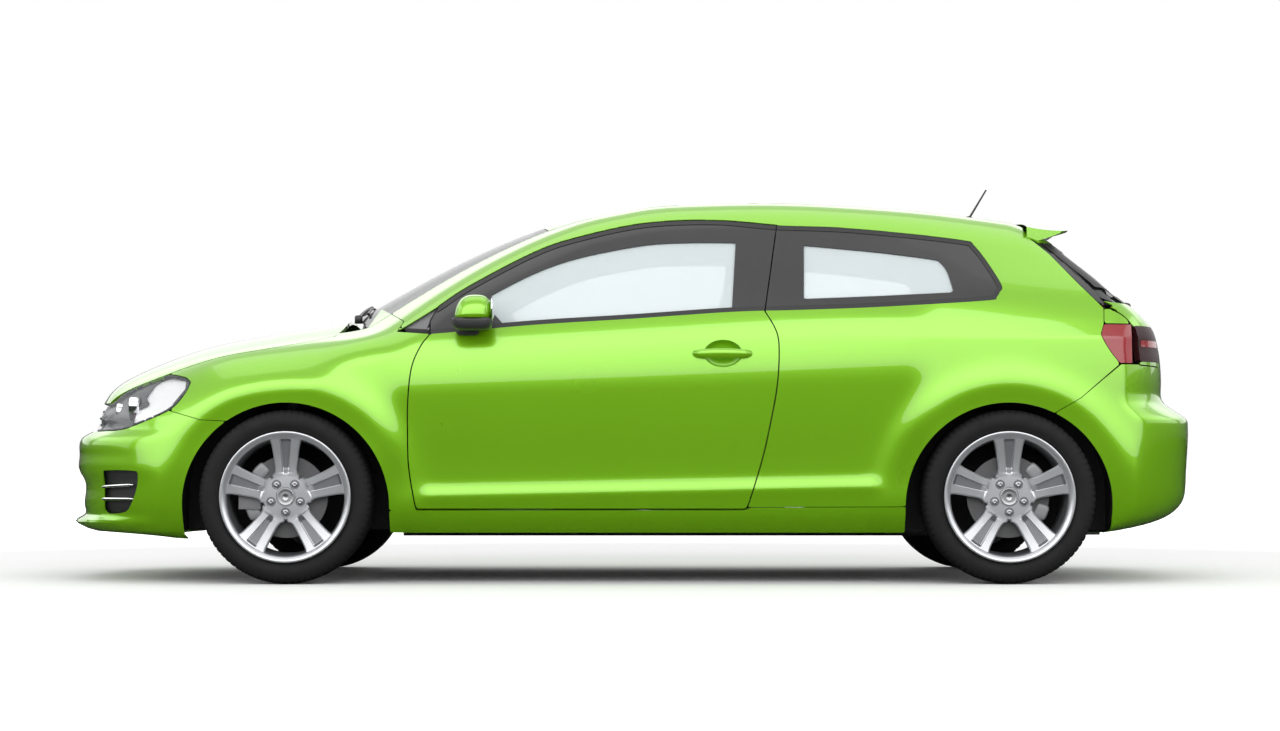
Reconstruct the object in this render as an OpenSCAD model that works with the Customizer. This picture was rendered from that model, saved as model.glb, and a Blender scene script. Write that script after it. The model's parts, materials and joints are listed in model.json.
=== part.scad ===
// Three-door hatchback car, in millimetres. The nose points along -X, the car's left side is -Y and +Z is up.
// The origin is on the ground under the middle of the car.

/* [Overall] */
// Length from the nose to the tail
body_length = 4263; // [3550:1:5130]
// Width over the door skins
body_width = 1788; // [1480:1:2150]
// Height of the roof above the ground
body_height = 1437; // [1300:1:1730]
// Distance between the front and rear axles
wheelbase = 2636; // [2450:1:2900]

/* [Wheels] */
// Outer diameter of a tyre
tyre_d = 636; // [600:1:650]
// Width of a tyre
tyre_w = 222; // [185:1:235]
// Diameter of the rim over its lips
rim_d = 480; // [420:1:500]
// Distance from the car's middle plane to a wheel's middle plane
half_track = 765; // [740:1:772]
// Diameter of a brake disc
disc_d = 300; // [240:1:320]
// Diameter of the circle of wheel bolts
bolt_circle_d = 112; // [98:1:120]
// Bore of a wheel's hub
hub_bore_d = 57; // [50:1:70]
// Radius of a wheel arch
arch_r = 378; // [360:1:385]

/* [Body shell] */
// Thickness of a door or a quarter wall
wall_t = 90; // [60:1:110]
// Thickness of a bonnet or wing skin
skin_t = 4; // [3:0.5:6]
// Thickness of the roof with its lining
roof_t = 24; // [15:1:35]
// Thickness of the window glass
glass_t = 5; // [3:0.5:8]
// Gap around doors, bonnet and tailgate
panel_gap = 8; // [6:0.5:12]
// Gap between fixed panels
seam_gap = 0.5; // [0.3:0.1:0.9]
// Thickness of the floor
floor_t = 24; // [15:1:35]

/* [Cabin] */
// Width of a front seat
seat_w = 500; // [420:5:560]
// Diameter of the steering wheel
steering_wheel_d = 370; // [330:1:400]

/* [Hidden] */

paint = [0.45, 0.75, 0.05];
black = [0.06, 0.06, 0.07];
grey = [0.35, 0.35, 0.36];
metal = [0.6, 0.6, 0.62];
pane = [0.75, 0.82, 0.84, 0.5];

// The styling curves are drawn for a body of these sizes and stretched to the sizes above.
ref_width = 1788;
ref_height = 1437;
ref_front_axle = -1264;
ref_rear_axle = 1372;
ref_nose = -2134;
ref_tail = 2129;
ref_ride = 283;

axle_mid = (ref_front_axle + ref_rear_axle) / 2 - (ref_nose + ref_tail) / 2;
front_axle = axle_mid - wheelbase / 2;
rear_axle_x = axle_mid + wheelbase / 2;
nose_x = -body_length / 2;
tail_x = body_length / 2;
hub_z = tyre_d / 2;
half_w = body_width / 2;
far = 5000;

function mix(a, b, t) = a + (b - a) * t;
// Real places of the reference coordinates, and the reverse.
function X(x) = x < ref_front_axle
    ? mix(nose_x, front_axle, (x - ref_nose) / (ref_front_axle - ref_nose))
    : x > ref_rear_axle
    ? mix(rear_axle_x, tail_x, (x - ref_rear_axle) / (ref_tail - ref_rear_axle))
    : mix(front_axle, rear_axle_x, (x - ref_front_axle) / (ref_rear_axle - ref_front_axle));
function unX(x) = x < front_axle
    ? mix(ref_nose, ref_front_axle, (x - nose_x) / (front_axle - nose_x))
    : x > rear_axle_x
    ? mix(ref_rear_axle, ref_tail, (x - rear_axle_x) / (tail_x - rear_axle_x))
    : mix(ref_front_axle, ref_rear_axle, (x - front_axle) / (rear_axle_x - front_axle));
function Y(y) = y * body_width / ref_width;
function unY(y) = y * ref_width / body_width;
z_scale = (body_height - ref_ride) / (ref_height - ref_ride);
function Z(z) = z < ref_ride ? z : ref_ride + (z - ref_ride) * z_scale;
function unZ(z) = z < ref_ride ? z : ref_ride + (z - ref_ride) / z_scale;
function XZ(pts) = [for (p = pts) [X(p.x), Z(p.y)]];
function XY(pts) = [for (p = pts) [X(p.x), Y(p.y)]];
function YZ(pts) = [for (p = pts) [Y(p.x), Z(p.y)]];

// ---- smooth curves through points ----
// Second derivatives of the natural cubic spline through the points, by elimination and back substitution.
function spline_bend(p) = let (
    n = len(p),
    h = [for (i = [0:n - 2]) p[i + 1].x - p[i].x],
    s = [for (i = [0:n - 2]) (p[i + 1].y - p[i].y) / h[i]],
    down = [for (i = 0, v = [0, 0]; i < n - 1; i = i + 1,
        v = i < n - 1 ? let (q = 2 * (h[i - 1] + h[i]) - h[i - 1] * v[0])
            [h[i] / q, (6 * (s[i] - s[i - 1]) - h[i - 1] * v[1]) / q] : v) v],
    up = [for (i = n - 1, m = 0; i >= 0; i = i - 1, m = i > 0 ? down[i][1] - down[i][0] * m : 0) m])
    [for (i = [0:n - 1]) up[n - 1 - i]];
// Table of a spline at even steps, with a straight run beyond each end.
function spline_table(p, step = 15) = let (
    n = len(p),
    m = spline_bend(p),
    body = [for (i = [0:n - 2]) let (h = p[i + 1].x - p[i].x, k = ceil(h / step))
        for (j = [0:k - 1]) let (b = j / k, a = 1 - b)
            [p[i].x + b * h, a * p[i].y + b * p[i + 1].y
                + ((pow(a, 3) - a) * m[i] + (pow(b, 3) - b) * m[i + 1]) * h * h / 6]],
    all = concat(body, [p[n - 1]]),
    c = len(all),
    s0 = (all[1].y - all[0].y) / (all[1].x - all[0].x),
    s1 = (all[c - 1].y - all[c - 2].y) / (all[c - 1].x - all[c - 2].x))
    concat([[all[0].x - far, all[0].y - far * s0]], all, [[all[c - 1].x + far, all[c - 1].y + far * s1]]);
function ramp(t) = let (u = min(max(t, 0), 1)) u * u * (3 - 2 * u);
function soft_max(a, b, k) = let (h = max(k - abs(a - b), 0) / k) max(a, b) + h * h * k / 4;
// Rounded outline through corner points: each span is a Catmull-Rom arc.
function curve(p, steps = 4) = let (n = len(p))
    concat([for (i = [0:n - 2]) let (a = p[max(i - 1, 0)], b = p[i], c = p[i + 1], d = p[min(i + 2, n - 1)])
        for (j = [0:steps - 1]) let (t = j / steps)
            0.5 * (2 * b + (c - a) * t + (2 * a - 5 * b + 4 * c - d) * t * t
                + (3 * b - a - 3 * c + d) * t * t * t)], [p[n - 1]]);
// The same outline backwards on the car's other side, and an outline without its first or its last point.
function flip(p) = [for (i = [len(p) - 1:-1:0]) [p[i].x, -p[i].y]];
function rest(p) = [for (i = [1:len(p) - 1]) p[i]];
function most(p) = [for (i = [0:len(p) - 2]) p[i]];

// ---- the styling curves ----
// Half width of the body at each height, between the wheels and at the two ends.
door_section = spline_table([[150, 770], [200, 822], [250, 860], [300, 873], [360, 874], [430, 876],
    [550, 884], [680, 892], [760, 894], [850, 884], [930, 863], [975, 842], [1060, 800], [1200, 722],
    [1330, 645], [1420, 585]]);
end_section = spline_table([[150, 770], [200, 826], [250, 862], [320, 884], [400, 892], [450, 893],
    [550, 890], [650, 886], [760, 879], [850, 868], [930, 852], [975, 838], [1060, 798], [1200, 722],
    [1330, 645], [1420, 585]]);
// Height of the bonnet, windscreen and roof along the middle of the car.
top_profile = spline_table([[-2160, 600], [-2060, 690], [-1980, 742], [-1900, 785], [-1800, 828],
    [-1650, 880], [-1414, 930], [-1262, 955], [-1140, 974], [-1085, 990], [-1007, 1030], [-855, 1115],
    [-704, 1196], [-552, 1268], [-400, 1330], [-300, 1362], [-201, 1384], [-100, 1400], [40, 1420],
    [255, 1433], [450, 1437], [634, 1434], [861, 1422], [1013, 1411], [1165, 1396], [1316, 1377],
    [1468, 1356], [1605, 1338]]);
// Reach of the nose and of the tail at each height, in the middle of the car.
nose_profile = spline_table([[140, -1500], [162, -1800], [180, -2030], [200, -2110], [216, -2140],
    [228, -2140], [242, -2115], [270, -2108], [375, -2112], [398, -2124], [415, -2131], [470, -2130],
    [525, -2126], [542, -2110], [560, -2076], [602, -2064], [640, -2052], [700, -2040], [760, -2030],
    [900, -2020]]);
tail_profile = spline_table([[150, 1600], [170, 1730], [185, 1840], [203, 1940], [226, 2018], [261, 2078],
    [299, 2108], [337, 2117], [413, 2121], [526, 2128], [585, 2128], [604, 2122], [622, 2098], [640, 2070],
    [658, 2044], [678, 2030], [720, 2027], [792, 2026], [850, 2020], [900, 2010], [940, 1996], [975, 1970],
    [1005, 1940], [1057, 1874], [1126, 1795], [1186, 1718], [1232, 1660], [1300, 1566], [1370, 1460]]);
belt_rise = 0.058;
plan_curl = 230;
tail_curl = 180;
sill_ridge_z = 335;
flare = 12;

function side_reach(x, z) = let (
    zr = z - belt_rise * x * min(max((z - 250) / 720, 0), 1),
    e = ramp((-820 - x) / 130) + ramp((x - 980) / 150),
    w = lookup(zr, door_section) * (1 - e) + lookup(zr, end_section) * e
        - 30 * pow(max((-500 - x) / 1000, 0), 2) - 40 * pow(max((x - 700) / 1000, 0), 2),
    up = min(max((z - 900) / 400, 0), 1.2),
    narrow = up * (60 * pow(max((x - 300) / 1000, 0), 2) + 60 * pow(max((-200 - x) / 1000, 0), 2)),
    crease = 8 * ramp((x + 790) / 60) * ramp((930 - x) / 80)
        * exp(-pow((z - sill_ridge_z - 0.0215 * x) / 30, 2)),
    rf = norm([x - ref_front_axle, z - ref_ride]),
    rr = norm([x - ref_rear_axle, z - ref_ride]),
    lift = flare * min(max((z - 180) / 100, 0), 1)
        * (exp(-pow((rf - 453) / 60, 2)) + exp(-pow((rr - 453) / 60, 2))))
    w - narrow + crease + lift;
function top_reach(x, y) = let (
    lean = 150 + 150 * ramp((x + 1500) / 400) - 300 * ramp((x + 300) / 500),
    crown = 110 - 25 * ramp((x + 1100) / 400),
    q = pow(y / 1000, 2))
    lookup(x - lean * q, top_profile) - crown * q;
// How sharply the sides turn into the top and the ends.
function shoulder(x, z) = 90 + 60 * ramp((-1000 - x) / 200) + 170 * ramp((-1450 - x) / 500)
    + 190 * ramp((x - 1650) / 350) * (1 - ramp((z - 850) / 200));
// Negative inside the body and about the distance to its surface.
function form_ref(x, y, z) = let (
    q = pow(y / 1000, 2),
    a = soft_max(z - top_reach(x, y), lookup(z, nose_profile) + plan_curl * q - x, 80),
    b = soft_max(a, x - lookup(z, tail_profile) + tail_curl * q, 60))
    soft_max(b, abs(y) - side_reach(x, z), shoulder(x, z));
function form(p) = form_ref(unX(p.x), unY(p.y), unZ(p.z));

// ---- sheets that follow the body surface ----
// Distance along a ray at which the body surface, sunk by a depth, is met.
function meet(o, d, sink, lo, hi, n) = let (m = (lo + hi) / 2)
    n == 0 ? m : form(o + d * m) < -sink ? meet(o, d, sink, m, hi, n - 1) : meet(o, d, sink, lo, m, n - 1);
// Points on the body surface, raised by a lift, seen from inside the car towards its tail, top or left.
function on_tail(y, z, lift) = let (o = [X(1150), y, z])
    o + [1, 0, 0] * meet(o, [1, 0, 0], -lift, 10, 1400, 18);
function on_top(x, y, lift, low = 700) = let (o = [x, y, low])
    o + [0, 0, 1] * meet(o, [0, 0, 1], -lift, 10, 900, 18);
function on_side(x, z, lift) = let (o = [x, 0, z])
    o - [0, 1, 0] * meet(o, [0, -1, 0], -lift, 10, 1400, 18);
// Three ways of aiming rays: around the car's length, around a cross line, or around an upright line.
function ray_start(kind, c, u, v) = kind == "ring" ? [u, 0, c] : kind == "roll" ? [c.x, u, c.y] : [c, 0, v];
function ray_way(kind, u, v) = kind == "ring" ? [0, -cos(v), sin(v)]
    : kind == "roll" ? [cos(v), 0, sin(v)] : [cos(u), sin(u), 0];
module sheet(kind, c, u, v, sink) {
    nu = u[2];
    nv = v[2];
    function at(i, j, s) = let (
        a = mix(u[0], u[1], i / nu),
        b = mix(v[0], v[1], j / nv),
        o = ray_start(kind, c, a, b),
        d = ray_way(kind, a, b))
        o + d * meet(o, d, s, 10, 1400, 15);
    pts = [for (s = sink) for (i = [0:nu]) for (j = [0:nv]) at(i, j, s)];
    half = (nu + 1) * (nv + 1);
    function id(k, i, j) = k * half + i * (nv + 1) + j;
    function quad(a, b, c, d) = [[a, b, c], [a, c, d]];
    faces = concat(
        [for (i = [0:nu - 1]) for (j = [0:nv - 1])
            each quad(id(0, i, j), id(0, i, j + 1), id(0, i + 1, j + 1), id(0, i + 1, j))],
        [for (i = [0:nu - 1]) for (j = [0:nv - 1])
            each quad(id(1, i, j), id(1, i + 1, j), id(1, i + 1, j + 1), id(1, i, j + 1))],
        [for (i = [0:nu - 1]) each concat(
            quad(id(0, i, 0), id(0, i + 1, 0), id(1, i + 1, 0), id(1, i, 0)),
            quad(id(0, i + 1, nv), id(0, i, nv), id(1, i, nv), id(1, i + 1, nv)))],
        [for (j = [0:nv - 1]) each concat(
            quad(id(0, 0, j + 1), id(0, 0, j), id(1, 0, j), id(1, 0, j + 1)),
            quad(id(0, nu, j), id(0, nu, j + 1), id(1, nu, j + 1), id(1, nu, j)))]);
    polyhedron(pts, faces);
}
// Keeps a panel as one closed mesh.
module one_mesh() {
    resize([0, 0, 0]) children();
}
// Prisms that cut the panels: through the side, from above and from behind.
module side_cut(pts) {
    rotate([90, 0, 0]) linear_extrude(far) polygon(pts);
}
module plan_cut(pts) {
    translate([0, 0, -far / 2]) linear_extrude(far) polygon(pts);
}
module end_cut(pts) {
    rotate([90, 0, 90]) linear_extrude(2 * far, center = true) polygon(pts);
}
// The same with a seam's gap all round, and right across the car.
module seam_cut(pts) {
    rotate([90, 0, 0]) linear_extrude(far) offset(delta = -seam_gap) polygon(pts);
}
module centred_side_cut(pts) {
    rotate([90, 0, 0]) linear_extrude(2 * far, center = true) polygon(pts);
}
module centred_end_cut(pts, grow) {
    rotate([90, 0, 90]) linear_extrude(2 * far, center = true) offset(delta = grow) polygon(pts);
}
module both_sides() {
    children();
    mirror([0, 1, 0]) children();
}
// A side panel belongs to the left side, and its twin is its mirror image.
module right_side() {
    mirror([0, 1, 0]) children();
}
module arch_hole(x, r) {
    translate([x, 0, ref_ride]) rotate([90, 0, 0]) cylinder(h = far, r = r, $fn = 72);
}

// Room for the lining of a wheel housing on both sides of the car.
module house_room(x, r, out_y) {
    for (s = [-1, 1]) translate([x, s * (out_y + 0.5) / 2, ref_ride]) rotate([90, 0, 0])
        cylinder(h = out_y + 0.5, r = r + 0.5, center = true, $fn = 72);
}

// ---- outlines of the panels, in reference coordinates ----
door_front = curve([[-777, 240], [-793, 300], [-814, 430], [-818, 560], [-817, 664], [-805, 784], [-775, 862],
    [-739, 912]], 3);
door_rear = curve([[490, 990], [524, 920], [533, 846], [525, 718], [502, 590], [476, 471], [445, 365],
    [405, 240]], 3);
window_top = curve([[-712, 1017], [-602, 1093], [-365, 1220], [-203, 1278], [42, 1331], [298, 1343],
    [534, 1323]], 3);
door_bottom = 276;
skirt_top = 268;
door_outline = concat([for (p = door_front) if (p.y > door_bottom) p], window_top,
    [for (p = door_rear) if (p.y > door_bottom) p], [[414, door_bottom], [-783, door_bottom]]);
door_pane = concat(curve([[-560, 1028], [-365, 1145], [-202, 1200], [42, 1248], [220, 1256], [390, 1250]], 3),
    [[365, 1006], [0, 982], [-367, 957], [-555, 945]]);
quarter_pane = concat([[632, 1250]], curve([[900, 1222], [1125, 1190], [1160, 1143], [1178, 1071]], 3),
    [[900, 1052], [626, 1041]]);
screen_side = curve([[-985, 630], [-915, 602], [-700, 566], [-500, 532], [-318, 500]], 3);
screen_head = curve([[-352, 0], [-345, 250], [-318, 500]], 3);
screen_foot = curve([[-1060, 0], [-1045, 250], [-1015, 480], [-985, 630]], 3);
roof_side = curve([[-318, 500], [0, 520], [600, 528], [1200, 518], [1450, 505]], 3);
bonnet_side = curve([[-1951, 576], [-1884, 622], [-1800, 655], [-1700, 686], [-1566, 716], [-1430, 729],
    [-1293, 718], [-1190, 700], [-1105, 678]], 3);
bonnet_back = curve([[-1105, 678], [-1088, 560], [-1082, 400], [-1086, 200], [-1090, 0]], 3);
bonnet_front_z = 664;
roof_end = 1447;
roof_gap = 0.6;
front_seam = [[-1480, 594], [-1574, 599], [-1694, 633]];
rear_seam = [[1538, 624], [1635, 680], [1785, 806]];
lamp_outline = [[-2080, 657], [-1951, 657], [-1884, 700], [-1810, 735], [-1720, 767], [-1618, 738],
    [-1694, 635], [-1822, 581], [-1906, 561], [-2080, 560]];
vent_outline = [[-1960, 412], [-1807, 412], [-1815, 354], [-1856, 265], [-1960, 262]];
sill_bottom = 187;
tail_lamp_outline = [[1725, 950], [1714, 905], [1780, 808], [1900, 808], [1900, 950]];
tail_lamp_edge = [[-787, 1000], [-787, 780]];
tailgate_lamp_outline = [[-770, 945], [-774, 813], [-585, 813], [-560, 850], [-575, 945]];

// ---- structure ----
cabin_half = half_w - 149;
floor_z = 215;
bulkhead_x = X(-980);
boot_x = X(960);
boot_floor_z = Z(405);
boot_half = 560;
rear_panel_x = X(1955);
// The wheel housings: radius of the linings, and how far inwards the front and the rear ones reach.
front_house_r = 405;
rear_house_r = 392;
front_house_y = 472;
rear_house_y = 568;
front_house_out = half_w - 56;
rear_house_out = half_w - 92;
// Gap between pieces that sit on each other.
fit_gap = 0.3;
house_back = front_axle + front_house_r + 3;
house_top = ref_ride + front_house_r + 5;
firewall_t = 20;
shelf_z = Z(845);
shelf_top = Z(880);

boot_lip_z = Z(640);
latch_z = Z(740);
latch_gap = 0.6;
module floor_pan() {
    color(grey) {
        rotate([90, 0, 0]) {
            linear_extrude(2 * cabin_half, center = true)
                polygon([[house_back, floor_z], [X(770), floor_z], [X(860), Z(330)], [boot_x, boot_floor_z],
                    [boot_x, boot_floor_z + floor_t], [X(850), Z(330) + floor_t], [X(755), floor_z + floor_t],
                    [house_back, floor_z + floor_t]]);
            linear_extrude(2 * front_house_y - 14, center = true)
                polygon([[bulkhead_x, floor_z], [house_back, floor_z], [house_back, floor_z + floor_t],
                    [bulkhead_x, floor_z + floor_t]]);
            linear_extrude(2 * boot_half, center = true)
                polygon([[boot_x, boot_floor_z], [rear_panel_x + 15, boot_floor_z],
                    [rear_panel_x + 15, boot_lip_z], [rear_panel_x, boot_lip_z],
                    [rear_panel_x, boot_floor_z + floor_t], [boot_x, boot_floor_z + floor_t]]);
        }
        translate([rear_panel_x, -30, boot_lip_z - 10])
            cube([on_tail(0, latch_z, -tailgate_t - latch_gap).x - rear_panel_x, 60, latch_z - boot_lip_z + 10]);
    }
}

// Firewall with the two wheel housings stepped back into the cabin, and the shelf that carries the cowl.
module bulkhead() {
    low = floor_z + floor_t + fit_gap;
    inner = front_house_y - 12;
    front = bulkhead_x - firewall_t;
    step_t = 10;
    reach = cabin_half - inner + step_t;
    color(grey) {
        translate([front, -inner, floor_z]) cube([firewall_t, 2 * inner, shelf_top - floor_z]);
        both_sides() {
            translate([front, -inner, low]) cube([house_back - front, step_t, house_top - low]);
            translate([house_back, -cabin_half, low]) cube([step_t, reach, house_top - low]);
            translate([front, -cabin_half, house_top]) cube([house_back - front + step_t, reach, step_t]);
            translate([front, -cabin_half, house_top]) cube([firewall_t, reach, Z(860) - house_top]);
        }
        translate([front - 60, -560, shelf_z]) cube([60, 1120, shelf_top - shelf_z]);
    }
}

hinge_x = X(-746);
hinge_y = -half_w + 36;
post_y = hinge_y + 45;
pillar_t = 40;
post_back = hinge_x + 6;
post_depth = 9.2;
door_sweep_r = 84;
sill_foot = 195;
sill_top = 264;
module door_hole() {
    rotate([90, 0, 0]) linear_extrude(far) offset(delta = panel_gap, chamfer = true) polygon(XZ(door_outline));
}
// Side outline of the frame, from the windscreen's foot round the sill and the tail to the roof.
side_outline = concat([[-955, 1024], [-911, 1001], [-839, 961.5], [-862, 922.5], [-739, 914], [-700, 700],
    [0, 600], [400, 285], [400, 279], [1100, 282], [1538, 285], rear_seam[0], rear_seam[1]],
    [[1779.8, 801.7], [1713.6, 905], [1723, 951], [1728, 1009], [1545, 1214], [1482, 1272], [1440, 1330],
    [1440, 1480], [-400, 1480], [-960, 1200]]);
quarter_outline = [[400, 100], [2000, 100], [2000, 985], [400, 985]];
// Pillars, roof rail and quarter wall.
module outer_wall() {
    difference() {
        intersection() {
            union() {
                sheet("ring", 600, [X(-1080), X(1950), 30], [-28, 66, 14], [0, pillar_t]);
                intersection() {
                    sheet("ring", 600, [X(400), X(1950), 14], [-28, 30, 7], [0, wall_t]);
                    side_cut(XZ(quarter_outline));
                }
            }
            side_cut(XZ(side_outline));
            plan_cut(concat([for (p = screen_side) [X(p.x), -Y(p.y) - seam_gap]],
                [for (p = roof_side) [X(p.x), -Y(p.y) - seam_gap]],
                [[X(1520), -Y(505)], [X(2000), -Y(300)], [X(2000), -far], [X(-1100), -far],
                    [X(-1100), -Y(640)]]));
        }
        door_hole();
        side_cut(XZ(quarter_pane));
        arch_hole(rear_axle_x, arch_r);
        house_room(rear_axle_x, rear_house_r, rear_house_out);
        tailgate_room();
    }
}
// Post that carries the door's hinges, hollowed for the sweep of the door's front edge.
module hinge_post() {
    difference() {
        intersection() {
            sheet("ring", 600, [X(-940), X(-700), 5], [-28, 40, 8], [post_depth, 260]);
            side_cut([[post_back, sill_foot], [post_back, Z(900)], [X(-760), Z(990)], [X(-905), Z(1002)],
                [house_back - 50, Z(900)], [house_back - 50, 520], [house_back - 12, 420],
                [house_back + 1, 330], [house_back + 1, sill_foot]]);
            translate([X(-1000), post_y, 0]) cube([400, -post_y - cabin_half - fit_gap, 1200]);
        }
        intersection() {
            translate([hinge_x, hinge_y, 0]) cylinder(h = far, r = door_sweep_r, $fn = 48);
            translate([hinge_x - 112, -far, 0]) cube([100, 2 * far, far]);
        }
    }
}
// Sill under the door, and the step behind it that meets the quarter wall.
module sill_box() {
    rotate([90, 0, 90]) translate([0, 0, house_back + 1]) linear_extrude(X(940) - house_back - 1)
        polygon([[-cabin_half - fit_gap, sill_foot], [-half_w + 92, sill_foot], [-half_w + 52, sill_top - 9],
            [-half_w + 52, sill_top], [-cabin_half - fit_gap, sill_top]]);
}
module sill_step() {
    translate([X(440), -half_w + 70, 255]) cube([X(940) - X(440), half_w - 70.3 - cabin_half, 75]);
}
module side_shell() {
    one_mesh() union() {
        outer_wall();
        hinge_post();
        sill_box();
        sill_step();
    }
}
// Room for the closed tailgate and its spoiler, with a gap round them.
module tailgate_room() {
    intersection() {
        sheet("roll", [X(1150), 800], [-Y(830), Y(830), 14], [-16, 82, 12], [-60, tailgate_t + panel_gap]);
        centred_end_cut(YZ(tailgate_outline), panel_gap);
        translate([X(1452), -far / 2, 0]) cube([far, far, far]);
    }
    translate([X(1452), -Y(614), Z(1262)]) cube([400, 2 * Y(614), 400]);
}
pin_r = 6;
hinge_heights = [430, 740];
module door_pin(z) {
    translate([hinge_x, hinge_y, z]) {
        translate([0, 0, -32]) cylinder(h = 64, r = pin_r, $fn = 32);
        for (s = [-1, 1]) translate([0, 0, s * 21]) {
            translate([0, 0, -8]) cylinder(h = 16, r = pin_r + 5, $fn = 32);
            translate([-9, 0, -8]) cube([13, post_y - hinge_y - 0.3, 16]);
        }
    }
}
module side_frame_left() {
    color(paint) side_shell();
    color(metal) for (z = hinge_heights) door_pin(Z(z));
}
module side_frame_right() {
    right_side() side_frame_left();
}

module roof_panel() {
    color(paint) one_mesh() intersection() {
        sheet("ring", 600, [X(-400), X(1520), 14], [50, 130, 10], [0, roof_t]);
        plan_cut(XY(concat(screen_head, rest(roof_side), flip(rest(roof_side)), flip(screen_head))));
        plan_cut([[X(-500), -far], [X(roof_end), -far], [X(roof_end), far], [X(-500), far]]);
    }
}

module front_fender_left() {
    color(paint) one_mesh() difference() {
        intersection() {
            sheet("ring", 500, [X(-1960), X(-730), 14], [-22, 50, 11], [0, skin_t]);
            side_cut(XZ(concat([[-884, skirt_top + 4]], front_seam, [[-1618, 738], [-1720, 768], [-1750, 1100],
                [-960, 1060], [-911, 1000.3], [-839.5, 960.3], [-866, 921.5], [-739, 913]],
                [for (i = [len(door_front) - 1:-1:0]) if (door_front[i].y > skirt_top + 4) door_front[i]],
                [[-780, skirt_top + 4]])));
            plan_cut(concat([for (p = bonnet_side) [X(p.x), -Y(p.y) - panel_gap]],
                [[X(-990), -Y(641)], [X(-912), -Y(607)], [X(-700), -Y(500)], [X(-700), -far], [X(-1951), -far]]));
        }
        door_hole();
        arch_hole(front_axle, arch_r);
    }
}
module front_fender_right() {
    right_side() front_fender_left();
}

skirt_t = 12;
module side_skirts() {
    color(paint) both_sides() one_mesh() difference() {
        intersection() {
            sheet("ring", 600, [X(-900), X(1020), 12], [-32, -14, 4], [0, skirt_t]);
            side_cut([[X(-900), sill_bottom], [X(1020), sill_bottom], [X(1020), 281.5], [X(438), 278.5],
                [X(424), skirt_top], [X(-900), skirt_top]]);
        }
        arch_hole(front_axle, arch_r);
        arch_hole(rear_axle_x, arch_r);
        house_room(front_axle, front_house_r, front_house_out);
        house_room(rear_axle_x, rear_house_r, rear_house_out);
    }
}

bumper_t = 22;
lower_mouth = [[-430, 262], [430, 262], [470, 395], [-470, 395]];
module front_bumper() {
    color(paint) one_mesh() difference() {
        intersection() {
            sheet("drum", X(-1300), [92, 268, 30], [178, 662, 14], [0, bumper_t]);
            centred_side_cut(XZ([[-2300, 182], [-1500, 182], [-1478, 594], [-1574, 598.5], [-1694, 632],
                [-1822, 580], [-1906, 560], [-1990, 558], [-2300, 558]]));
        }
        both_sides() arch_hole(front_axle, arch_r);
        house_room(front_axle, front_house_r, front_house_out);
        translate([X(-2300), 0, 0]) rotate([90, 0, 90]) linear_extrude(500) polygon(YZ(lower_mouth));
        both_sides() translate([0, -600, 0]) side_cut(XZ(vent_outline));
    }
}

module rear_bumper() {
    color(paint) one_mesh() difference() {
        intersection() {
            sheet("drum", X(1400), [-88, 88, 28], [172, 820, 15], [0, bumper_t]);
            centred_side_cut(XZ([[1536, 187], [2300, 187], [2300, 806], [1787, 806], [1636, 679], [1539, 623]]));
        }
        both_sides() arch_hole(rear_axle_x, arch_r);
        translate([X(1700), 0, 0]) rotate([90, 0, 90]) linear_extrude(far)
            offset(delta = panel_gap) polygon(YZ(tailgate_outline));
        house_room(rear_axle_x, rear_house_r, rear_house_out);
    }
}

module grilles() {
    color(black) one_mesh() {
        intersection() {
            sheet("drum", X(-1300), [140, 220, 14], [Z(540), Z(680), 3], [10, 22]);
            end_cut(YZ([[-565, 558.5], [565, 558.5], [565, 657], [-565, 657]]));
            translate([X(-2300), -Y(565), 0]) cube([600, 2 * Y(565), far]);
        }
        intersection() {
            sheet("drum", X(-1300), [140, 220, 14], [Z(240), Z(420), 4], [10, 22]);
            centred_end_cut(YZ(lower_mouth), -seam_gap);
            translate([X(-2300), -far / 2, 0]) cube([600, far, far]);
        }
        both_sides() intersection() {
            sheet("drum", X(-1300), [208, 250, 10], [Z(240), Z(430), 4], [10, 20]);
            translate([0, -600.5, 0]) seam_cut(XZ(vent_outline));
        }
    }
}

// Trough between the bonnet and the windscreen.
module cowl_panel() {
    z = shelf_top + fit_gap;
    color(black) one_mesh() intersection() {
        sheet("roll", [X(-1100), 400], [-600, 600, 10], [66, 102, 6], [glass_t + 5, 200]);
        centred_side_cut([[X(-1062), z], [X(-1004), z], [X(-1004), Z(1100)], [X(-1012), Z(1100)],
            [X(-1012), z + 8], [X(-1056), z + 8], [X(-1056), z + 24], [X(-1062), z + 24]]);
    }
}

module windscreen() {
    color(pane) one_mesh() intersection() {
        sheet("roll", [X(-500), 500], [-640, 640, 12], [78, 145, 10], [0, glass_t]);
        plan_cut(XY(concat(screen_foot, rest(screen_side),
            [for (i = [len(screen_head) - 2:-1:0]) screen_head[i] - [roof_gap, 0]],
            [for (p = most(rest(screen_head))) [p.x - roof_gap, -p.y]],
            flip(rest(screen_side)), flip(rest(screen_foot)))));
    }
}

module quarter_windows() {
    color(pane) both_sides() one_mesh() intersection() {
        sheet("ring", 600, [X(600), X(1200), 5], [20, 48, 5], [12, 12 + glass_t]);
        seam_cut(XZ(quarter_pane));
    }
}

module headlamps() {
    color(grey) both_sides() one_mesh() intersection() {
        sheet("ring", 300, [X(-2040), X(-1600), 8], [5, 55, 7], [2, 60]);
        seam_cut(XZ(lamp_outline));
        plan_cut(concat([for (p = bonnet_side) [X(p.x), -Y(p.y) - panel_gap - 2]],
            [[X(-1105), -far], [X(-2300), -far], [X(-2300), -Y(565.5)], [X(-1990), -Y(565.5)]]));
    }
}

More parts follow.
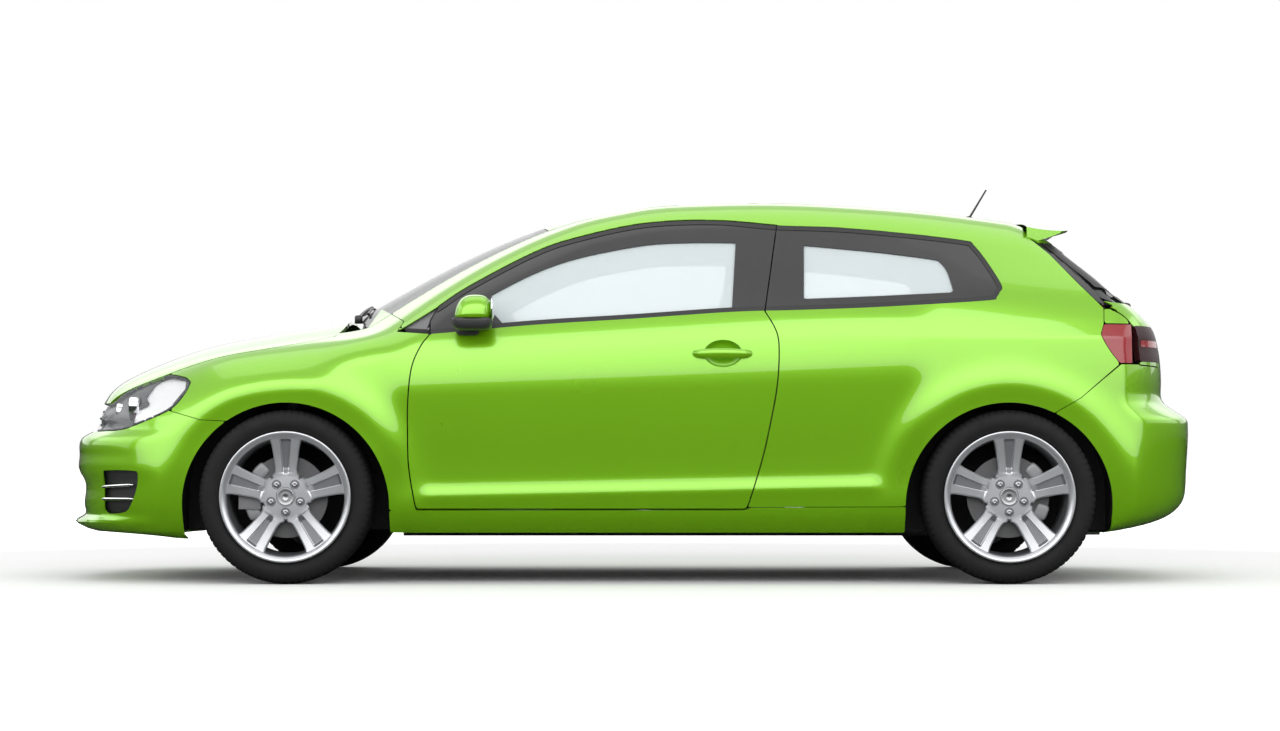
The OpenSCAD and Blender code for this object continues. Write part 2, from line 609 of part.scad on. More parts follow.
module tail_lamps() {
    color([0.6, 0.05, 0.08]) both_sides() one_mesh() intersection() {
        sheet("ring", 700, [X(1700), X(1900), 6], [0, 26, 4], [1, 50]);
        seam_cut(XZ(tail_lamp_outline));
        end_cut(concat(YZ(tail_lamp_edge), [[-far, Z(780)], [-far, Z(1000)]]));
    }
}
module tailgate_lamps() {
    color([0.6, 0.05, 0.08]) one_mesh() both_sides() intersection() {
        sheet("drum", X(1400), [-70, -35, 8], [Z(790), Z(960), 5], [1, 45]);
        centred_end_cut(YZ(tailgate_lamp_outline), -seam_gap);
    }
}

// ---- doors ----
module door_panel(thick) {
    intersection() {
        sheet("ring", 600, [X(-830), X(550), 16], [-24, 56, 12], [0, thick]);
        side_cut(XZ(door_outline));
    }
}
module door_left() {
    color(paint) one_mesh() difference() {
        union() {
            door_panel(skin_t);
            intersection() {
                door_panel(pillar_t);
                side_cut(XZ([[-690, 900], [-690, 1400], [500, 1400], [500, 900]]));
            }
            intersection() {
                door_panel(wall_t);
                side_cut([[hinge_x + 22, 300], [hinge_x + 22, Z(900)], [X(-690), Z(930)], [X(365), Z(980)],
                    [X(455), Z(980)], [X(500), Z(850)], [X(480), Z(650)], [X(420), Z(400)], [X(380), 292],
                    [hinge_x + 22, 292]]);
            }
        }
        side_cut(XZ(door_pane));
    }
    color(metal) for (z = hinge_heights) door_leaf(Z(z));
}
module door_leaf(z) {
    translate([hinge_x, hinge_y, z - 12]) difference() {
        union() {
            cylinder(h = 24, r = pin_r + 5, $fn = 32);
            translate([0, -5, 0]) cube([21.7, 10, 24]);
        }
        translate([0, 0, -1]) cylinder(h = 26, r = pin_r + 0.1, $fn = 32);
    }
}
module door_right() {
    right_side() door_left();
}
module door_window_left() {
    color(pane) one_mesh() intersection() {
        sheet("ring", 600, [X(-600), X(400), 8], [18, 52, 6], [12, 12 + glass_t]);
        seam_cut(XZ(door_pane));
    }
}
module door_window_right() {
    right_side() door_window_left();
}
mirror_at = [-588, -922, 984];
module mirror_left() {
    color(paint) one_mesh() {
        translate([X(mirror_at.x), Y(mirror_at.y), Z(mirror_at.z)]) hull() {
            scale([0.8, 1.1, 0.72]) sphere(r = 78, $fn = 20);
            translate([40, -44, 0]) rotate([0, 90, 0]) cylinder(h = 12, r = 44, $fn = 24);
            translate([40, 40, -4]) rotate([0, 90, 0]) cylinder(h = 12, r = 46, $fn = 24);
        }
        difference() {
            hull() {
                translate([X(-640), Y(-900), Z(925)]) cube([100, 20, 22]);
                translate([X(-655), Y(-860), Z(926)]) cube([110, 40, 16]);
            }
            sheet("ring", 600, [X(-700), X(-500), 5], [10, 40, 6], [-0.3, 120]);
        }
    }
}
module mirror_right() {
    right_side() mirror_left();
}
handle_lift = 34;
module door_handle_left() {
    color(paint) one_mesh() {
        hull() for (x = [240, 412]) translate(on_side(X(x), Z(838), handle_lift)) scale([1.6, 0.6, 1])
            sphere(r = 11, $fn = 16);
        for (x = [240, 412]) translate(on_side(X(x), Z(838), 0.3) - [9, handle_lift, 8])
            cube([18, handle_lift, 16]);
    }
}
module door_handle_right() {
    right_side() door_handle_left();
}

// ---- bonnet ----
bonnet_t = 16;
module bonnet() {
    color(paint) one_mesh() intersection() {
        sheet("roll", [X(-1250), 450], [-Y(740), Y(740), 16], [68, 176, 14], [0, bonnet_t]);
        plan_cut(XY(concat([[-2200, 0], [-2200, 560]], bonnet_side, rest(bonnet_back),
            flip(most(bonnet_back)), flip(most(bonnet_side)), [[-2200, -560]])));
        translate([-far, -far / 2, Z(bonnet_front_z)]) cube([2 * far, far, far]);
    }
}

// ---- tailgate ----
tailgate_t = 55;
tailgate_skin_t = 30;
tailgate_outline = [[-530, 1420], [-614, 1272], [-652, 1214], [-778, 1008], [-778, 800],
    [-620, 796], [-580, 740], [-560, 655], [560, 655], [580, 740], [620, 796], [778, 800],
    [778, 1008], [652, 1214], [614, 1272], [530, 1420]];
tailgate_reach = [[1466, 1500], [1466, 1290], [1556, 1214], [1775, 1008], [1790, 950], [1812, 790], [1830, 600],
    [2300, 600], [2300, 1500]];
rear_pane = [[-560, 1262], [-640, 1035], [-560, 1022], [560, 1022], [640, 1035], [560, 1262]];
module tailgate() {
    color(paint) one_mesh() difference() {
        intersection() {
            union() {
                sheet("roll", [X(1150), 800], [-Y(800), Y(800), 14], [-16, 82, 13], [0, tailgate_skin_t]);
                intersection() {
                    sheet("roll", [X(1150), 800], [-Y(800), Y(800), 14], [-16, 30, 6], [0, tailgate_t]);
                    end_cut(YZ([[-700, 700], [700, 700], [700, 980], [-700, 980]]));
                }
            }
            end_cut(YZ(tailgate_outline));
            centred_side_cut(XZ(tailgate_reach));
        }
        end_cut(YZ(rear_pane));
        both_sides() end_cut(YZ(tailgate_lamp_outline));
        sheet("roll", [X(1150), 800], [-Y(660), Y(660), 12], [44, 90, 6], [-80, 16]);
    }
}
module rear_window() {
    color(pane) one_mesh() intersection() {
        sheet("roll", [X(1150), 800], [-Y(700), Y(700), 12], [18, 62, 7], [2, 2 + glass_t]);
        centred_end_cut(YZ(rear_pane), -seam_gap);
    }
}
spoiler_half = 600;
spoiler_tip = 1655;
module spoiler() {
    n = 12;
    m = 8;
    function top_at(x, y) = 1358 - 0.02 * (x - 1466) - 90 * pow(y / 1000, 2);
    function edge_at(y) = spoiler_tip - 110 * pow(y / 600, 4);
    function low_at(x, y) = let (o = [X(x), Y(y), 700])
        max(700 + meet(o, [0, 0, 1], 15.5, 10, 900, 14), Z(top_at(x, y) - 12 - 0.32 * (edge_at(y) - x)));
    pts = [for (k = [0, 1]) for (i = [0:n]) for (j = [0:m]) let (
        y = mix(-spoiler_half, spoiler_half, i / n),
        x = mix(1468, edge_at(y), j / m))
        [X(x), Y(y), k == 0 ? Z(top_at(x, y)) : low_at(x, y)]];
    function id(k, i, j) = k * (n + 1) * (m + 1) + i * (m + 1) + j;
    function quad(a, b, c, d) = [[a, b, c], [a, c, d]];
    color(paint) one_mesh() polyhedron(pts, concat(
        [for (i = [0:n - 1]) for (j = [0:m - 1]) each concat(
            quad(id(0, i, j), id(0, i + 1, j), id(0, i + 1, j + 1), id(0, i, j + 1)),
            quad(id(1, i, j), id(1, i, j + 1), id(1, i + 1, j + 1), id(1, i + 1, j)))],
        [for (i = [0:n - 1]) each concat(
            quad(id(0, i, 0), id(1, i, 0), id(1, i + 1, 0), id(0, i + 1, 0)),
            quad(id(0, i, m), id(0, i + 1, m), id(1, i + 1, m), id(1, i, m)))],
        [for (j = [0:m - 1]) each concat(
            quad(id(0, 0, j), id(0, 0, j + 1), id(1, 0, j + 1), id(1, 0, j)),
            quad(id(0, n, j), id(1, n, j), id(1, n, j + 1), id(0, n, j + 1)))]));
}
module rear_wiper() {
    color(black) translate(on_tail(0, Z(1050), -0.4)) rotate([0, 41, 0]) {
        cylinder(h = 26, r = 14, $fn = 32);
        translate([-8, -6, 16]) cube([16, 340, 9]);
    }
}

// ---- wheels, one corner at a time; the outer face points to -Y ----
// Depth of a wheel's mounting face behind the tyre's outer wall, and height of a disc's hat behind that.
hub_depth = 50;
hat_h = 40;
bolt_hole_r = 7;
module tyre() {
    r = tyre_d / 2;
    b = rim_d / 2;
    w = tyre_w / 2;
    side = (r - b) / 78;
    half = [[b - 12, 16], [b + 8 * side, 12], [b + 30 * side, 1], [b + 50 * side, 0], [r - 22 * side, 8],
        [r - 5 * side, 24], [r, 40]];
    rotate([90, 0, 0]) rotate_extrude($fn = 96) polygon(concat([for (p = half) [p.x, p.y - w]],
        [for (i = [len(half) - 1:-1:0]) [half[i].x, w - half[i].y]]));
}
spoke_count = 5;
module wheel_rim() {
    b = rim_d / 2;
    w = tyre_w / 2;
    rotate([90, 0, 0]) {
        rotate_extrude($fn = 96) polygon([[b - 22, -w + 8], [b + 3, -w + 2], [b + 3, -w + 10],
            [b - 12.3, -w + 15.7], [b - 12.3, w - 15.7], [b + 3, w - 10], [b + 3, w - 2], [b - 4, w + 3],
            [b - 14, w - 2], [b - 22, w - 24]]);
        difference() {
            union() {
                translate([0, 0, w - hub_depth]) cylinder(h = 30, r = 78, $fn = 48);
                for (i = [0:spoke_count - 1]) rotate([0, 0, 90 + i * 360 / spoke_count])
                    rotate([90, 0, 90]) linear_extrude(b - 16)
                        polygon([[-32, w - 44], [32, w - 44], [26, w - 21], [-26, w - 21]]);
            }
            translate([0, 0, -w]) cylinder(h = 2 * w, r = hub_bore_d / 2, $fn = 48);
            for (i = [0:spoke_count - 1]) rotate([0, 0, 90 + 36 + i * 360 / spoke_count])
                translate([bolt_circle_d / 2, 0, -w]) cylinder(h = 2 * w, r = bolt_hole_r, $fn = 24);
        }
        translate([0, 0, w - 30]) cylinder(h = 14, r = hub_bore_d / 2 - fit_gap, $fn = 48);
    }
}
disc_t = 24;
module brake_disc() {
    w = tyre_w / 2;
    rotate([90, 0, 0]) difference() {
        union() {
            translate([0, 0, w - hub_depth - fit_gap - hat_h]) cylinder(h = hat_h, r = 72, $fn = 48);
            translate([0, 0, w - hub_depth - fit_gap - hat_h]) cylinder(h = disc_t, r = disc_d / 2, $fn = 72);
        }
        translate([0, 0, -w]) cylinder(h = 2 * w, r = hub_bore_d / 2, $fn = 48);
    }
}
module at_wheel(x, side) {
    if (side > 0) mirror([0, 1, 0]) translate([x, -half_track, hub_z]) children();
    else translate([x, -half_track, hub_z]) children();
}

// ---- running gear ----
// Depth of the brake disc's back face and of the faces beside it, outwards from the middle of the car.
disc_back = half_track + tyre_w / 2 - hub_depth - fit_gap - hat_h;
kingpin_low = [front_axle, -half_track + 15, hub_z - 126];
kingpin_top = [front_axle, -half_track + 165, Z(828)];
ball_r = 14;
ball_play = 0.4;
module knuckle() {
    color(metal) {
        translate([front_axle, -disc_back + 90, hub_z]) rotate([90, 0, 0])
            cylinder(h = 90 - fit_gap, r = hub_bore_d / 2 + 8, $fn = 48);
        translate([front_axle, -disc_back + 30, hub_z]) rotate([90, 0, 0]) cylinder(h = 24, r = 58, $fn = 48);
        translate([front_axle - 18, kingpin_low.y - 9, kingpin_low.z + 20]) cube([36, 22, 96]);
        translate(kingpin_low) sphere(r = ball_r, $fn = 32);
        translate(kingpin_low) cylinder(h = 24, r = 8, $fn = 32);
        translate([front_axle - 20, kingpin_low.y - 9, hub_z + 20])
            cube([40, kingpin_top.y - kingpin_low.y + 9, 46]);
        translate([front_axle, kingpin_top.y, hub_z + 30])
            cylinder(h = kingpin_top.z - hub_z - 50, r = 24, $fn = 32);
        translate(kingpin_top) sphere(r = ball_r, $fn = 32);
        translate(kingpin_top - [0, 0, 24]) cylinder(h = 24, r = 9, $fn = 32);
        translate([front_axle - disc_d / 2 + 30, -disc_back + 5, hub_z - 22]) cube([disc_d / 2 - 30, 24, 44]);
        difference() {
            translate([front_axle - disc_d / 2 - 24, -disc_back - disc_t - 16, hub_z - 45])
                cube([80, disc_t + 50, 90]);
            translate([front_axle, -disc_back + 3, hub_z]) rotate([90, 0, 0])
                cylinder(h = disc_t + 6, r = disc_d / 2 + 6, $fn = 64);
        }
    }
}
module knuckle_left() {
    knuckle();
}
module knuckle_right() {
    right_side() knuckle();
}

rail_y = 400;
rail_w = 60;
rail_front = X(-1975);
bonnet_post_x = X(-1968);
engine_half = 350;
module front_frame() {
    color(grey) {
        both_sides() {
            translate([rail_front, -rail_y - rail_w, 380])
                cube([bulkhead_x - firewall_t - rail_front, rail_w, 90]);
            translate([X(-1960), -rail_y - rail_w, 240]) cube([60, rail_w, 140]);
            difference() {
                union() {
                    translate([front_axle - 60, -rail_y - rail_w, 470]) cube([120, 40, kingpin_top.z - 458]);
                    translate([front_axle - 60, kingpin_top.y, kingpin_top.z - 12])
                        cube([120, -kingpin_top.y - rail_y - 20, 24]);
                    translate([kingpin_top.x, kingpin_top.y, kingpin_top.z - 12])
                        cylinder(h = 24, r = 60, $fn = 48);
                }
                translate([kingpin_top.x, kingpin_top.y, 0]) cylinder(h = far, r = ball_r + ball_play, $fn = 48);
            }
            difference() {
                union() {
                    translate([front_axle - 28, kingpin_low.y, kingpin_low.z - 12])
                        cube([56, -kingpin_low.y - rail_y, 24]);
                    translate(kingpin_low - [0, 0, 12]) cylinder(h = 24, r = 28, $fn = 48);
                }
                translate([kingpin_low.x, kingpin_low.y, 0]) cylinder(h = 400, r = ball_r + ball_play, $fn = 48);
            }
            translate([front_axle + 110, -rail_y - rail_w, 190]) cube([60, rail_w, 190]);
        }
        translate([rail_front - 38, -560, 390]) cube([38, 1120, 100]);
        // Rubber posts under the bonnet, and the engine's mounts.
        both_sides() {
            translate([bonnet_post_x, -rail_y - 40, 460])
                cube([20, 20, on_top(bonnet_post_x, -rail_y - 40, -bonnet_t - 3.2, 480).z - 460]);
            translate([X(-1500), -rail_y, 400]) cube([80, rail_y - engine_half - fit_gap, 50]);
        }
        translate([X(-1960), -460, 200]) cube([60, 920, 50]);
        translate([front_axle - 120, -rail_y - rail_w, 160]) cube([300, 2 * (rail_y + rail_w), 50]);
    }
}
module engine() {
    color(grey) translate([X(-1790), -engine_half, 250])
        cube([X(-1130) - X(-1790), 2 * engine_half, Z(735) - 250]);
}
module rear_axle() {
    color(grey) {
        translate([rear_axle_x - 150, -520, 250]) cube([70, 1040, 90]);
        both_sides() {
            translate([rear_axle_x - 420, -560, 262]) cube([440, 60, 60]);
            translate([rear_axle_x, -disc_back + 0.3 + 240, hub_z]) rotate([90, 0, 0])
                cylinder(h = 240, r = hub_bore_d / 2 + 8, $fn = 48);
            translate([rear_axle_x, -530, 322]) cylinder(h = boot_floor_z - 322.3, r = 28, $fn = 40);
            translate([rear_axle_x - 400, -550, 300]) cube([50, 40, boot_floor_z - 300.3]);
        }
    }
}

liner_t = 5;
module wheel_arch_liners() {
    color(black) both_sides() {
        difference() {
            arch_liner(front_axle, front_house_r, front_house_out, front_house_y);
            translate([front_axle, kingpin_top.y, hub_z]) cylinder(h = 500, r = 84, $fn = 48);
        }
        arch_liner(rear_axle_x, rear_house_r, rear_house_out, rear_house_y);
    }
}
module arch_liner(x, r, out_y, in_y) {
    difference() {
        translate([x, -in_y, ref_ride]) rotate([90, 0, 0]) rotate_extrude($fn = 72)
            polygon([[r - liner_t, 0], [r - liner_t, out_y - in_y - 60], [382, out_y - in_y],
                [387, out_y - in_y], [r, out_y - in_y - 60], [r, 0]]);
        translate([x - 600, -out_y - 10, -400]) cube([1200, out_y, 400 + 200]);
    }
}

pipe_z = 178;
silencer_x = X(1480);
module exhaust() {
    color(metal) {
        translate([X(-900), 60, pipe_z]) rotate([0, 90, 0])
            cylinder(h = silencer_x - X(-900) + 10, r = 26, $fn = 32);
        translate([silencer_x, -300, 165]) cube([300, 400, 150]);
        for (x = [50, 270]) translate([silencer_x + x, -60, 310]) cube([20, 20, boot_floor_z - 310 - fit_gap]);
        for (y = [-240, -160]) translate([silencer_x + 290, y, 236]) rotate([0, 90, 0]) difference() {
            cylinder(h = 110, r = 34, $fn = 40);
            translate([0, 0, 20]) cylinder(h = far, r = 30, $fn = 40);
        }
    }
}

// ---- cabin ----
seat_y = 370;
wheel_tilt = 24;
steering_at = [X(-400), -seat_y, Z(840)];
module dashboard() {
    color(black) {
        difference() {
            rotate([90, 0, 0]) linear_extrude(1300, center = true)
                polygon([[bulkhead_x + fit_gap, Z(560)], [X(-640), Z(600)], [X(-560), Z(760)], [X(-620), Z(900)],
                    [X(-800), Z(925)], [bulkhead_x + fit_gap, Z(900)]]);
            both_sides() translate([bulkhead_x - 50, -cabin_half, 0])
                cube([house_back + 10.4 - bulkhead_x + 50, cabin_half - front_house_y + 22.4, house_top + 10.4]);
        }
        translate(steering_at) rotate([0, 90 - wheel_tilt, 0]) translate([0, 0, -250])
            cylinder(h = 219.5, r = 32, $fn = 48);
    }
}
module one_seat() {
    h = floor_z + floor_t;
    translate([X(-120), 0, h]) {
        translate([-180, -180, 0]) cube([380, 360, 112]);
        hull() for (x = [-240, 250], y = [-seat_w / 2 + 40, seat_w / 2 - 40]) translate([x, y, 150])
            scale([1, 1, 1.4]) sphere(r = 40, $fn = 12);
        hull() for (y = [-seat_w / 2 + 50, seat_w / 2 - 50], q = [[290, 200], [480, 700]])
            translate([q.x, y, q.y]) sphere(r = 45, $fn = 12);
        hull() for (y = [-80, 80], z = [770, 850]) translate([500 + (z - 770) / 8, y, z])
            sphere(r = 40, $fn = 12);
    }
}
module front_seats() {
    color([0.75, 0.76, 0.76]) for (y = [-seat_y, seat_y]) translate([0, y, 0]) one_seat();
}
module rear_bench() {
    color([0.75, 0.76, 0.76]) {
        hull() for (x = [700, 1080], y = [-519.4, 519.4]) translate([X(x), y, Z(530)]) scale([1, 1, 1.2])
            sphere(r = 50, $fn = 12);
        hull() for (y = [-495, 495], q = [[1130, 560], [1250, 960]]) translate([X(q.x), y, Z(q.y)])
            sphere(r = 45, $fn = 12);
    }
}
module steering_wheel() {
    color(black) translate(steering_at) rotate([0, 90 - wheel_tilt, 0]) {
        rotate_extrude($fn = 64) translate([steering_wheel_d / 2 - 15, 0]) circle(r = 15, $fn = 24);
        translate([0, 0, -30]) cylinder(h = 44, r = 62, $fn = 48);
        for (a = [0, 90, 180]) rotate([0, 0, a - 90]) translate([40, -16, -10])
            cube([steering_wheel_d / 2 - 62, 32, 14]);
    }
}
module antenna() {
    color(black) translate(on_top(X(1310), 0, 2.3)) {
        cylinder(h = 24, r = 20, $fn = 32);
        translate([0, 0, 18]) rotate([0, 31, 0]) cylinder(h = 122, r = 3, $fn = 16);
    }
}
module windscreen_wipers() {
    color(black) one_mesh() intersection() {
        sheet("roll", [X(-500), 500], [-640, 640, 12], [78, 145, 10], [-12, -0.3]);
        union() for (y = [-540, 60]) plan_cut([[X(-1030), y], [X(-1010), y], [X(-985), y + 500],
            [X(-1005), y + 500]]);
    }
}

module tyre_front_left() {
    color(black) at_wheel(front_axle, -1) tyre();
}
module tyre_front_right() {
    color(black) at_wheel(front_axle, 1) tyre();
}
module tyre_rear_left() {
    color(black) at_wheel(rear_axle_x, -1) tyre();
}
module tyre_rear_right() {
    color(black) at_wheel(rear_axle_x, 1) tyre();
}
module wheel_front_left() {
    color(metal) at_wheel(front_axle, -1) wheel_rim();
}
module wheel_front_right() {
    color(metal) at_wheel(front_axle, 1) wheel_rim();
}
module wheel_rear_left() {
    color(metal) at_wheel(rear_axle_x, -1) wheel_rim();
}
module wheel_rear_right() {
    color(metal) at_wheel(rear_axle_x, 1) wheel_rim();
}
module brake_disc_front_left() {
    color(metal) at_wheel(front_axle, -1) brake_disc();
}
module brake_disc_front_right() {
    color(metal) at_wheel(front_axle, 1) brake_disc();
}
module brake_disc_rear_left() {
    color(metal) at_wheel(rear_axle_x, -1) brake_disc();
}
module brake_disc_rear_right() {
    color(metal) at_wheel(rear_axle_x, 1) brake_disc();
}

floor_pan();
bulkhead();
side_frame_left();
side_frame_right();
roof_panel();
front_fender_left();
front_fender_right();
side_skirts();
front_bumper();
rear_bumper();
grilles();
cowl_panel();
windscreen();
quarter_windows();
headlamps();
tail_lamps();
dashboard();
front_seats();
rear_bench();
engine();
front_frame();
rear_axle();
wheel_arch_liners();
exhaust();
antenna();
windscreen_wipers();
bonnet();
door_left();
door_right();
door_window_left();
door_window_right();
mirror_left();
mirror_right();
door_handle_left();
door_handle_right();
tailgate();
rear_window();
spoiler();
rear_wiper();
knuckle_left();
knuckle_right();
tyre_front_left();
tyre_front_right();
tyre_rear_left();
tyre_rear_right();
wheel_front_left();
wheel_front_right();
wheel_rear_left();
wheel_rear_right();
brake_disc_front_left();
brake_disc_front_right();
brake_disc_rear_left();
brake_disc_rear_right();
steering_wheel();
tailgate_lamps();
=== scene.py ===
"""Looks for a three-door hatchback car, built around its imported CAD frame.

The nose points along -X, the car's left side is -Y and +Z is up. Lengths in the functions below are
millimetres until a mesh is made, which is in metres.
"""
import json
import math

import bpy
import numpy as np
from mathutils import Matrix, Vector

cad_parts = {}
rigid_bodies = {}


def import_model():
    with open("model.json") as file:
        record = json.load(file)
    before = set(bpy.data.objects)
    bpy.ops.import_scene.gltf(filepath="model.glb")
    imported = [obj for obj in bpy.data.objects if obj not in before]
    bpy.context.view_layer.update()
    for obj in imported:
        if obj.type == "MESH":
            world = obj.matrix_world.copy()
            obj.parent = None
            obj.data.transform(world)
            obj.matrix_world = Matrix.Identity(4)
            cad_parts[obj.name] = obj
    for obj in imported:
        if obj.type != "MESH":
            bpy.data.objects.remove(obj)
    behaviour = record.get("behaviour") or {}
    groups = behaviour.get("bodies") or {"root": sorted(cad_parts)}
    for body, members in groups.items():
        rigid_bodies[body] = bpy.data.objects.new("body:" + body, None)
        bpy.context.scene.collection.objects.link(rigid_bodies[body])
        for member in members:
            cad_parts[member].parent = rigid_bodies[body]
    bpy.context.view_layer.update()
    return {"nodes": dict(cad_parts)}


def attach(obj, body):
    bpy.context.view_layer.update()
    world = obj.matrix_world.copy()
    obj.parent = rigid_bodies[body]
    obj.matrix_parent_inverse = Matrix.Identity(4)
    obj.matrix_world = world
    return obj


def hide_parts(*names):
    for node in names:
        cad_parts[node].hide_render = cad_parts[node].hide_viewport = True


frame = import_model()
MM = 0.001
SHIFT = 2.5
FRONT_AXLE = -1264
REAR_AXLE = 1372
ARCH_Z = 283
ARCH_R = 378
HUB_Z = 318
HALF_TRACK = 765
HANDLE_X, HANDLE_Z = 329, 840
RECESS_RX, RECESS_RZ = 70, 50
SEAT_Y = 370
# Widths of the rubber round the side windows and of the black border round the end windows.
SEAL_W = 17
BORDER_W = 34
# Where the roof passes into the spoiler, half of the spoiler's width, and the height of its tip.
SPOILER_X = 1468
SPOILER_HALF = 606
SPOILER_Z = 1331
# Height at which a mirror's painted cap meets its black base.
MIRROR_SPLIT = 967

# ---------------------------------------------------------------- body form


class Spline:
    """Natural cubic spline through given points, straight beyond its ends."""

    def __init__(self, points):
        p = np.array(points, float)
        self.x, self.y = p[:, 0], p[:, 1]
        n = len(p)
        h = self.h = np.diff(self.x)
        a = np.zeros((n, n))
        b = np.zeros(n)
        a[0, 0] = a[-1, -1] = 1
        i = np.arange(1, n - 1)
        a[i, i - 1], a[i, i], a[i, i + 1] = h[:-1], 2 * (h[:-1] + h[1:]), h[1:]
        slope = np.diff(self.y) / h
        b[1:-1] = 6 * np.diff(slope)
        self.m = np.linalg.solve(a, b)

    def __call__(self, t):
        t = np.asarray(t, float)
        tc = np.clip(t, self.x[0], self.x[-1])
        i = np.clip(np.searchsorted(self.x, tc) - 1, 0, len(self.x) - 2)
        h, m, y = self.h[i], self.m, self.y
        a = (self.x[i + 1] - tc) / h
        b = (tc - self.x[i]) / h
        v = a * y[i] + b * y[i + 1] + ((a**3 - a) * m[i] + (b**3 - b) * m[i + 1]) * h * h / 6
        e0 = (y[1] - y[0]) / self.h[0] - self.h[0] * (2 * m[0] + m[1]) / 6
        e1 = (y[-1] - y[-2]) / self.h[-1] + self.h[-1] * (m[-2] + 2 * m[-1]) / 6
        before = np.where(t < self.x[0], (t - self.x[0]) * e0, 0)
        after = np.where(t > self.x[-1], (t - self.x[-1]) * e1, 0)
        return v + before + after


def ramp(t):
    t = np.clip(t, 0, 1)
    return t * t * (3 - 2 * t)


def soft_max(a, b, k):
    h = np.maximum(k - np.abs(a - b), 0) / k
    return np.maximum(a, b) + h * h * k / 4


DOOR_SECTION = Spline([(150, 770), (200, 822), (250, 860), (300, 873), (360, 874), (430, 876), (550, 884), (680, 892),
    (760, 894), (850, 884), (930, 863), (975, 842), (1060, 800), (1200, 722), (1330, 645), (1420, 585)])
END_SECTION = Spline([(150, 770), (200, 826), (250, 862), (320, 884), (400, 892), (450, 893), (550, 890), (650, 886),
    (760, 879), (850, 868), (930, 852), (975, 838), (1060, 798), (1200, 722), (1330, 645), (1420, 585)])
TOP_PROFILE = Spline([(-2160, 600), (-2060, 690), (-1980, 742), (-1900, 785), (-1800, 828), (-1650, 880),
    (-1414, 930), (-1262, 955), (-1140, 974), (-1085, 990), (-1007, 1030), (-855, 1115), (-704, 1196), (-552, 1268),
    (-400, 1330), (-300, 1362), (-201, 1384), (-100, 1400), (40, 1420), (255, 1433), (450, 1437), (634, 1434),
    (861, 1422), (1013, 1411), (1165, 1396), (1316, 1377), (1468, 1356), (1605, 1338)])
NOSE_PROFILE = Spline([(140, -1500), (162, -1800), (180, -2030), (200, -2110), (216, -2140), (228, -2140),
    (242, -2115), (270, -2108), (375, -2112), (398, -2124), (415, -2131), (470, -2130), (525, -2126), (542, -2110),
    (560, -2076), (602, -2064), (640, -2052), (700, -2040), (760, -2030), (900, -2020)])
TAIL_PROFILE = Spline([(150, 1600), (170, 1730), (185, 1840), (203, 1940), (226, 2018), (261, 2078), (299, 2108),
    (337, 2117), (413, 2121), (526, 2128), (585, 2128), (604, 2122), (622, 2098), (640, 2070), (658, 2044),
    (678, 2030), (720, 2027), (792, 2026), (850, 2020), (900, 2010), (940, 1996), (975, 1970), (1005, 1940),
    (1057, 1874), (1126, 1795), (1186, 1718), (1232, 1660), (1300, 1566), (1370, 1460)])


def side_reach(x, z):
    """Half width of the body at each length and height, with the sill crease and the flares round the wheels."""
    zr = z - 0.058 * x * np.clip((z - 250) / 720, 0, 1)
    e = ramp((-820 - x) / 130) + ramp((x - 980) / 150)
    w = DOOR_SECTION(zr) * (1 - e) + END_SECTION(zr) * e
    w = w - 30 * np.maximum((-500 - x) / 1000, 0) ** 2 - 40 * np.maximum((x - 700) / 1000, 0) ** 2
    up = np.clip((z - 900) / 400, 0, 1.2)
    w = w - up * (60 * np.maximum((x - 300) / 1000, 0) ** 2 + 60 * np.maximum((-200 - x) / 1000, 0) ** 2)
    crease = ramp((x + 790) / 60) * ramp((930 - x) / 80) * np.exp(-(((z - 335 - 0.0215 * x) / 30) ** 2))
    lift = np.clip((z - 180) / 100, 0, 1)
    for axle in (FRONT_AXLE, REAR_AXLE):
        w = w + 12 * lift * np.exp(-(((np.hypot(x - axle, z - ARCH_Z) - ARCH_R - 75) / 60) ** 2))
    return w + 8 * crease


def top_reach(x, y):
    lean = 150 + 150 * ramp((x + 1500) / 400) - 300 * ramp((x + 300) / 500)
    q = (y / 1000) ** 2
    return TOP_PROFILE(x - lean * q) - (110 - 25 * ramp((x + 1100) / 400)) * q


def form(p):
    """Negative inside the body and about the distance to its surface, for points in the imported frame, in mm."""
    x, y, z = p[..., 0] - SHIFT, p[..., 1], p[..., 2]
    q = (y / 1000) ** 2
    shoulder = 90 + 60 * ramp((-1000 - x) / 200) + 170 * ramp((-1450 - x) / 500)
    shoulder = shoulder + 190 * ramp((x - 1650) / 350) * (1 - ramp((z - 850) / 200))
    g = soft_max(z - top_reach(x, y), NOSE_PROFILE(z) + 230 * q - x, 80)
    g = soft_max(g, x - TAIL_PROFILE(z) + 180 * q, 60)
    return soft_max(g, np.abs(y) - side_reach(x, z), shoulder)


# Ways of aiming rays at the body: (start, direction) for the two parameters of each kind of sheet.
def rays(kind, c, u, v):
    zero, one = np.zeros_like(u), np.ones_like(u)
    if kind == "ring":
        return np.stack([u, zero, zero + c], -1), np.stack([zero, -np.cos(v), np.sin(v)], -1)
    if kind == "flat":
        return np.stack([u, zero, v], -1), np.stack([zero, -one, zero], -1)
    if kind == "roll":
        return np.stack([zero + c[0], u, zero + c[1]], -1), np.stack([np.cos(v), zero, np.sin(v)], -1)
    return np.stack([zero + c, zero, v], -1), np.stack([np.cos(u), np.sin(u), zero], -1)


def aims(kind, c, p):
    """The two parameters of the ray of a sheet through each point."""
    if kind == "ring":
        return p[..., 0], np.arctan2(p[..., 2] - c, -p[..., 1])
    if kind == "roll":
        return p[..., 1], np.arctan2(p[..., 2] - c[1], p[..., 0] - c[0])
    return np.arctan2(p[..., 1], p[..., 0] - c) % (2 * np.pi), p[..., 2]


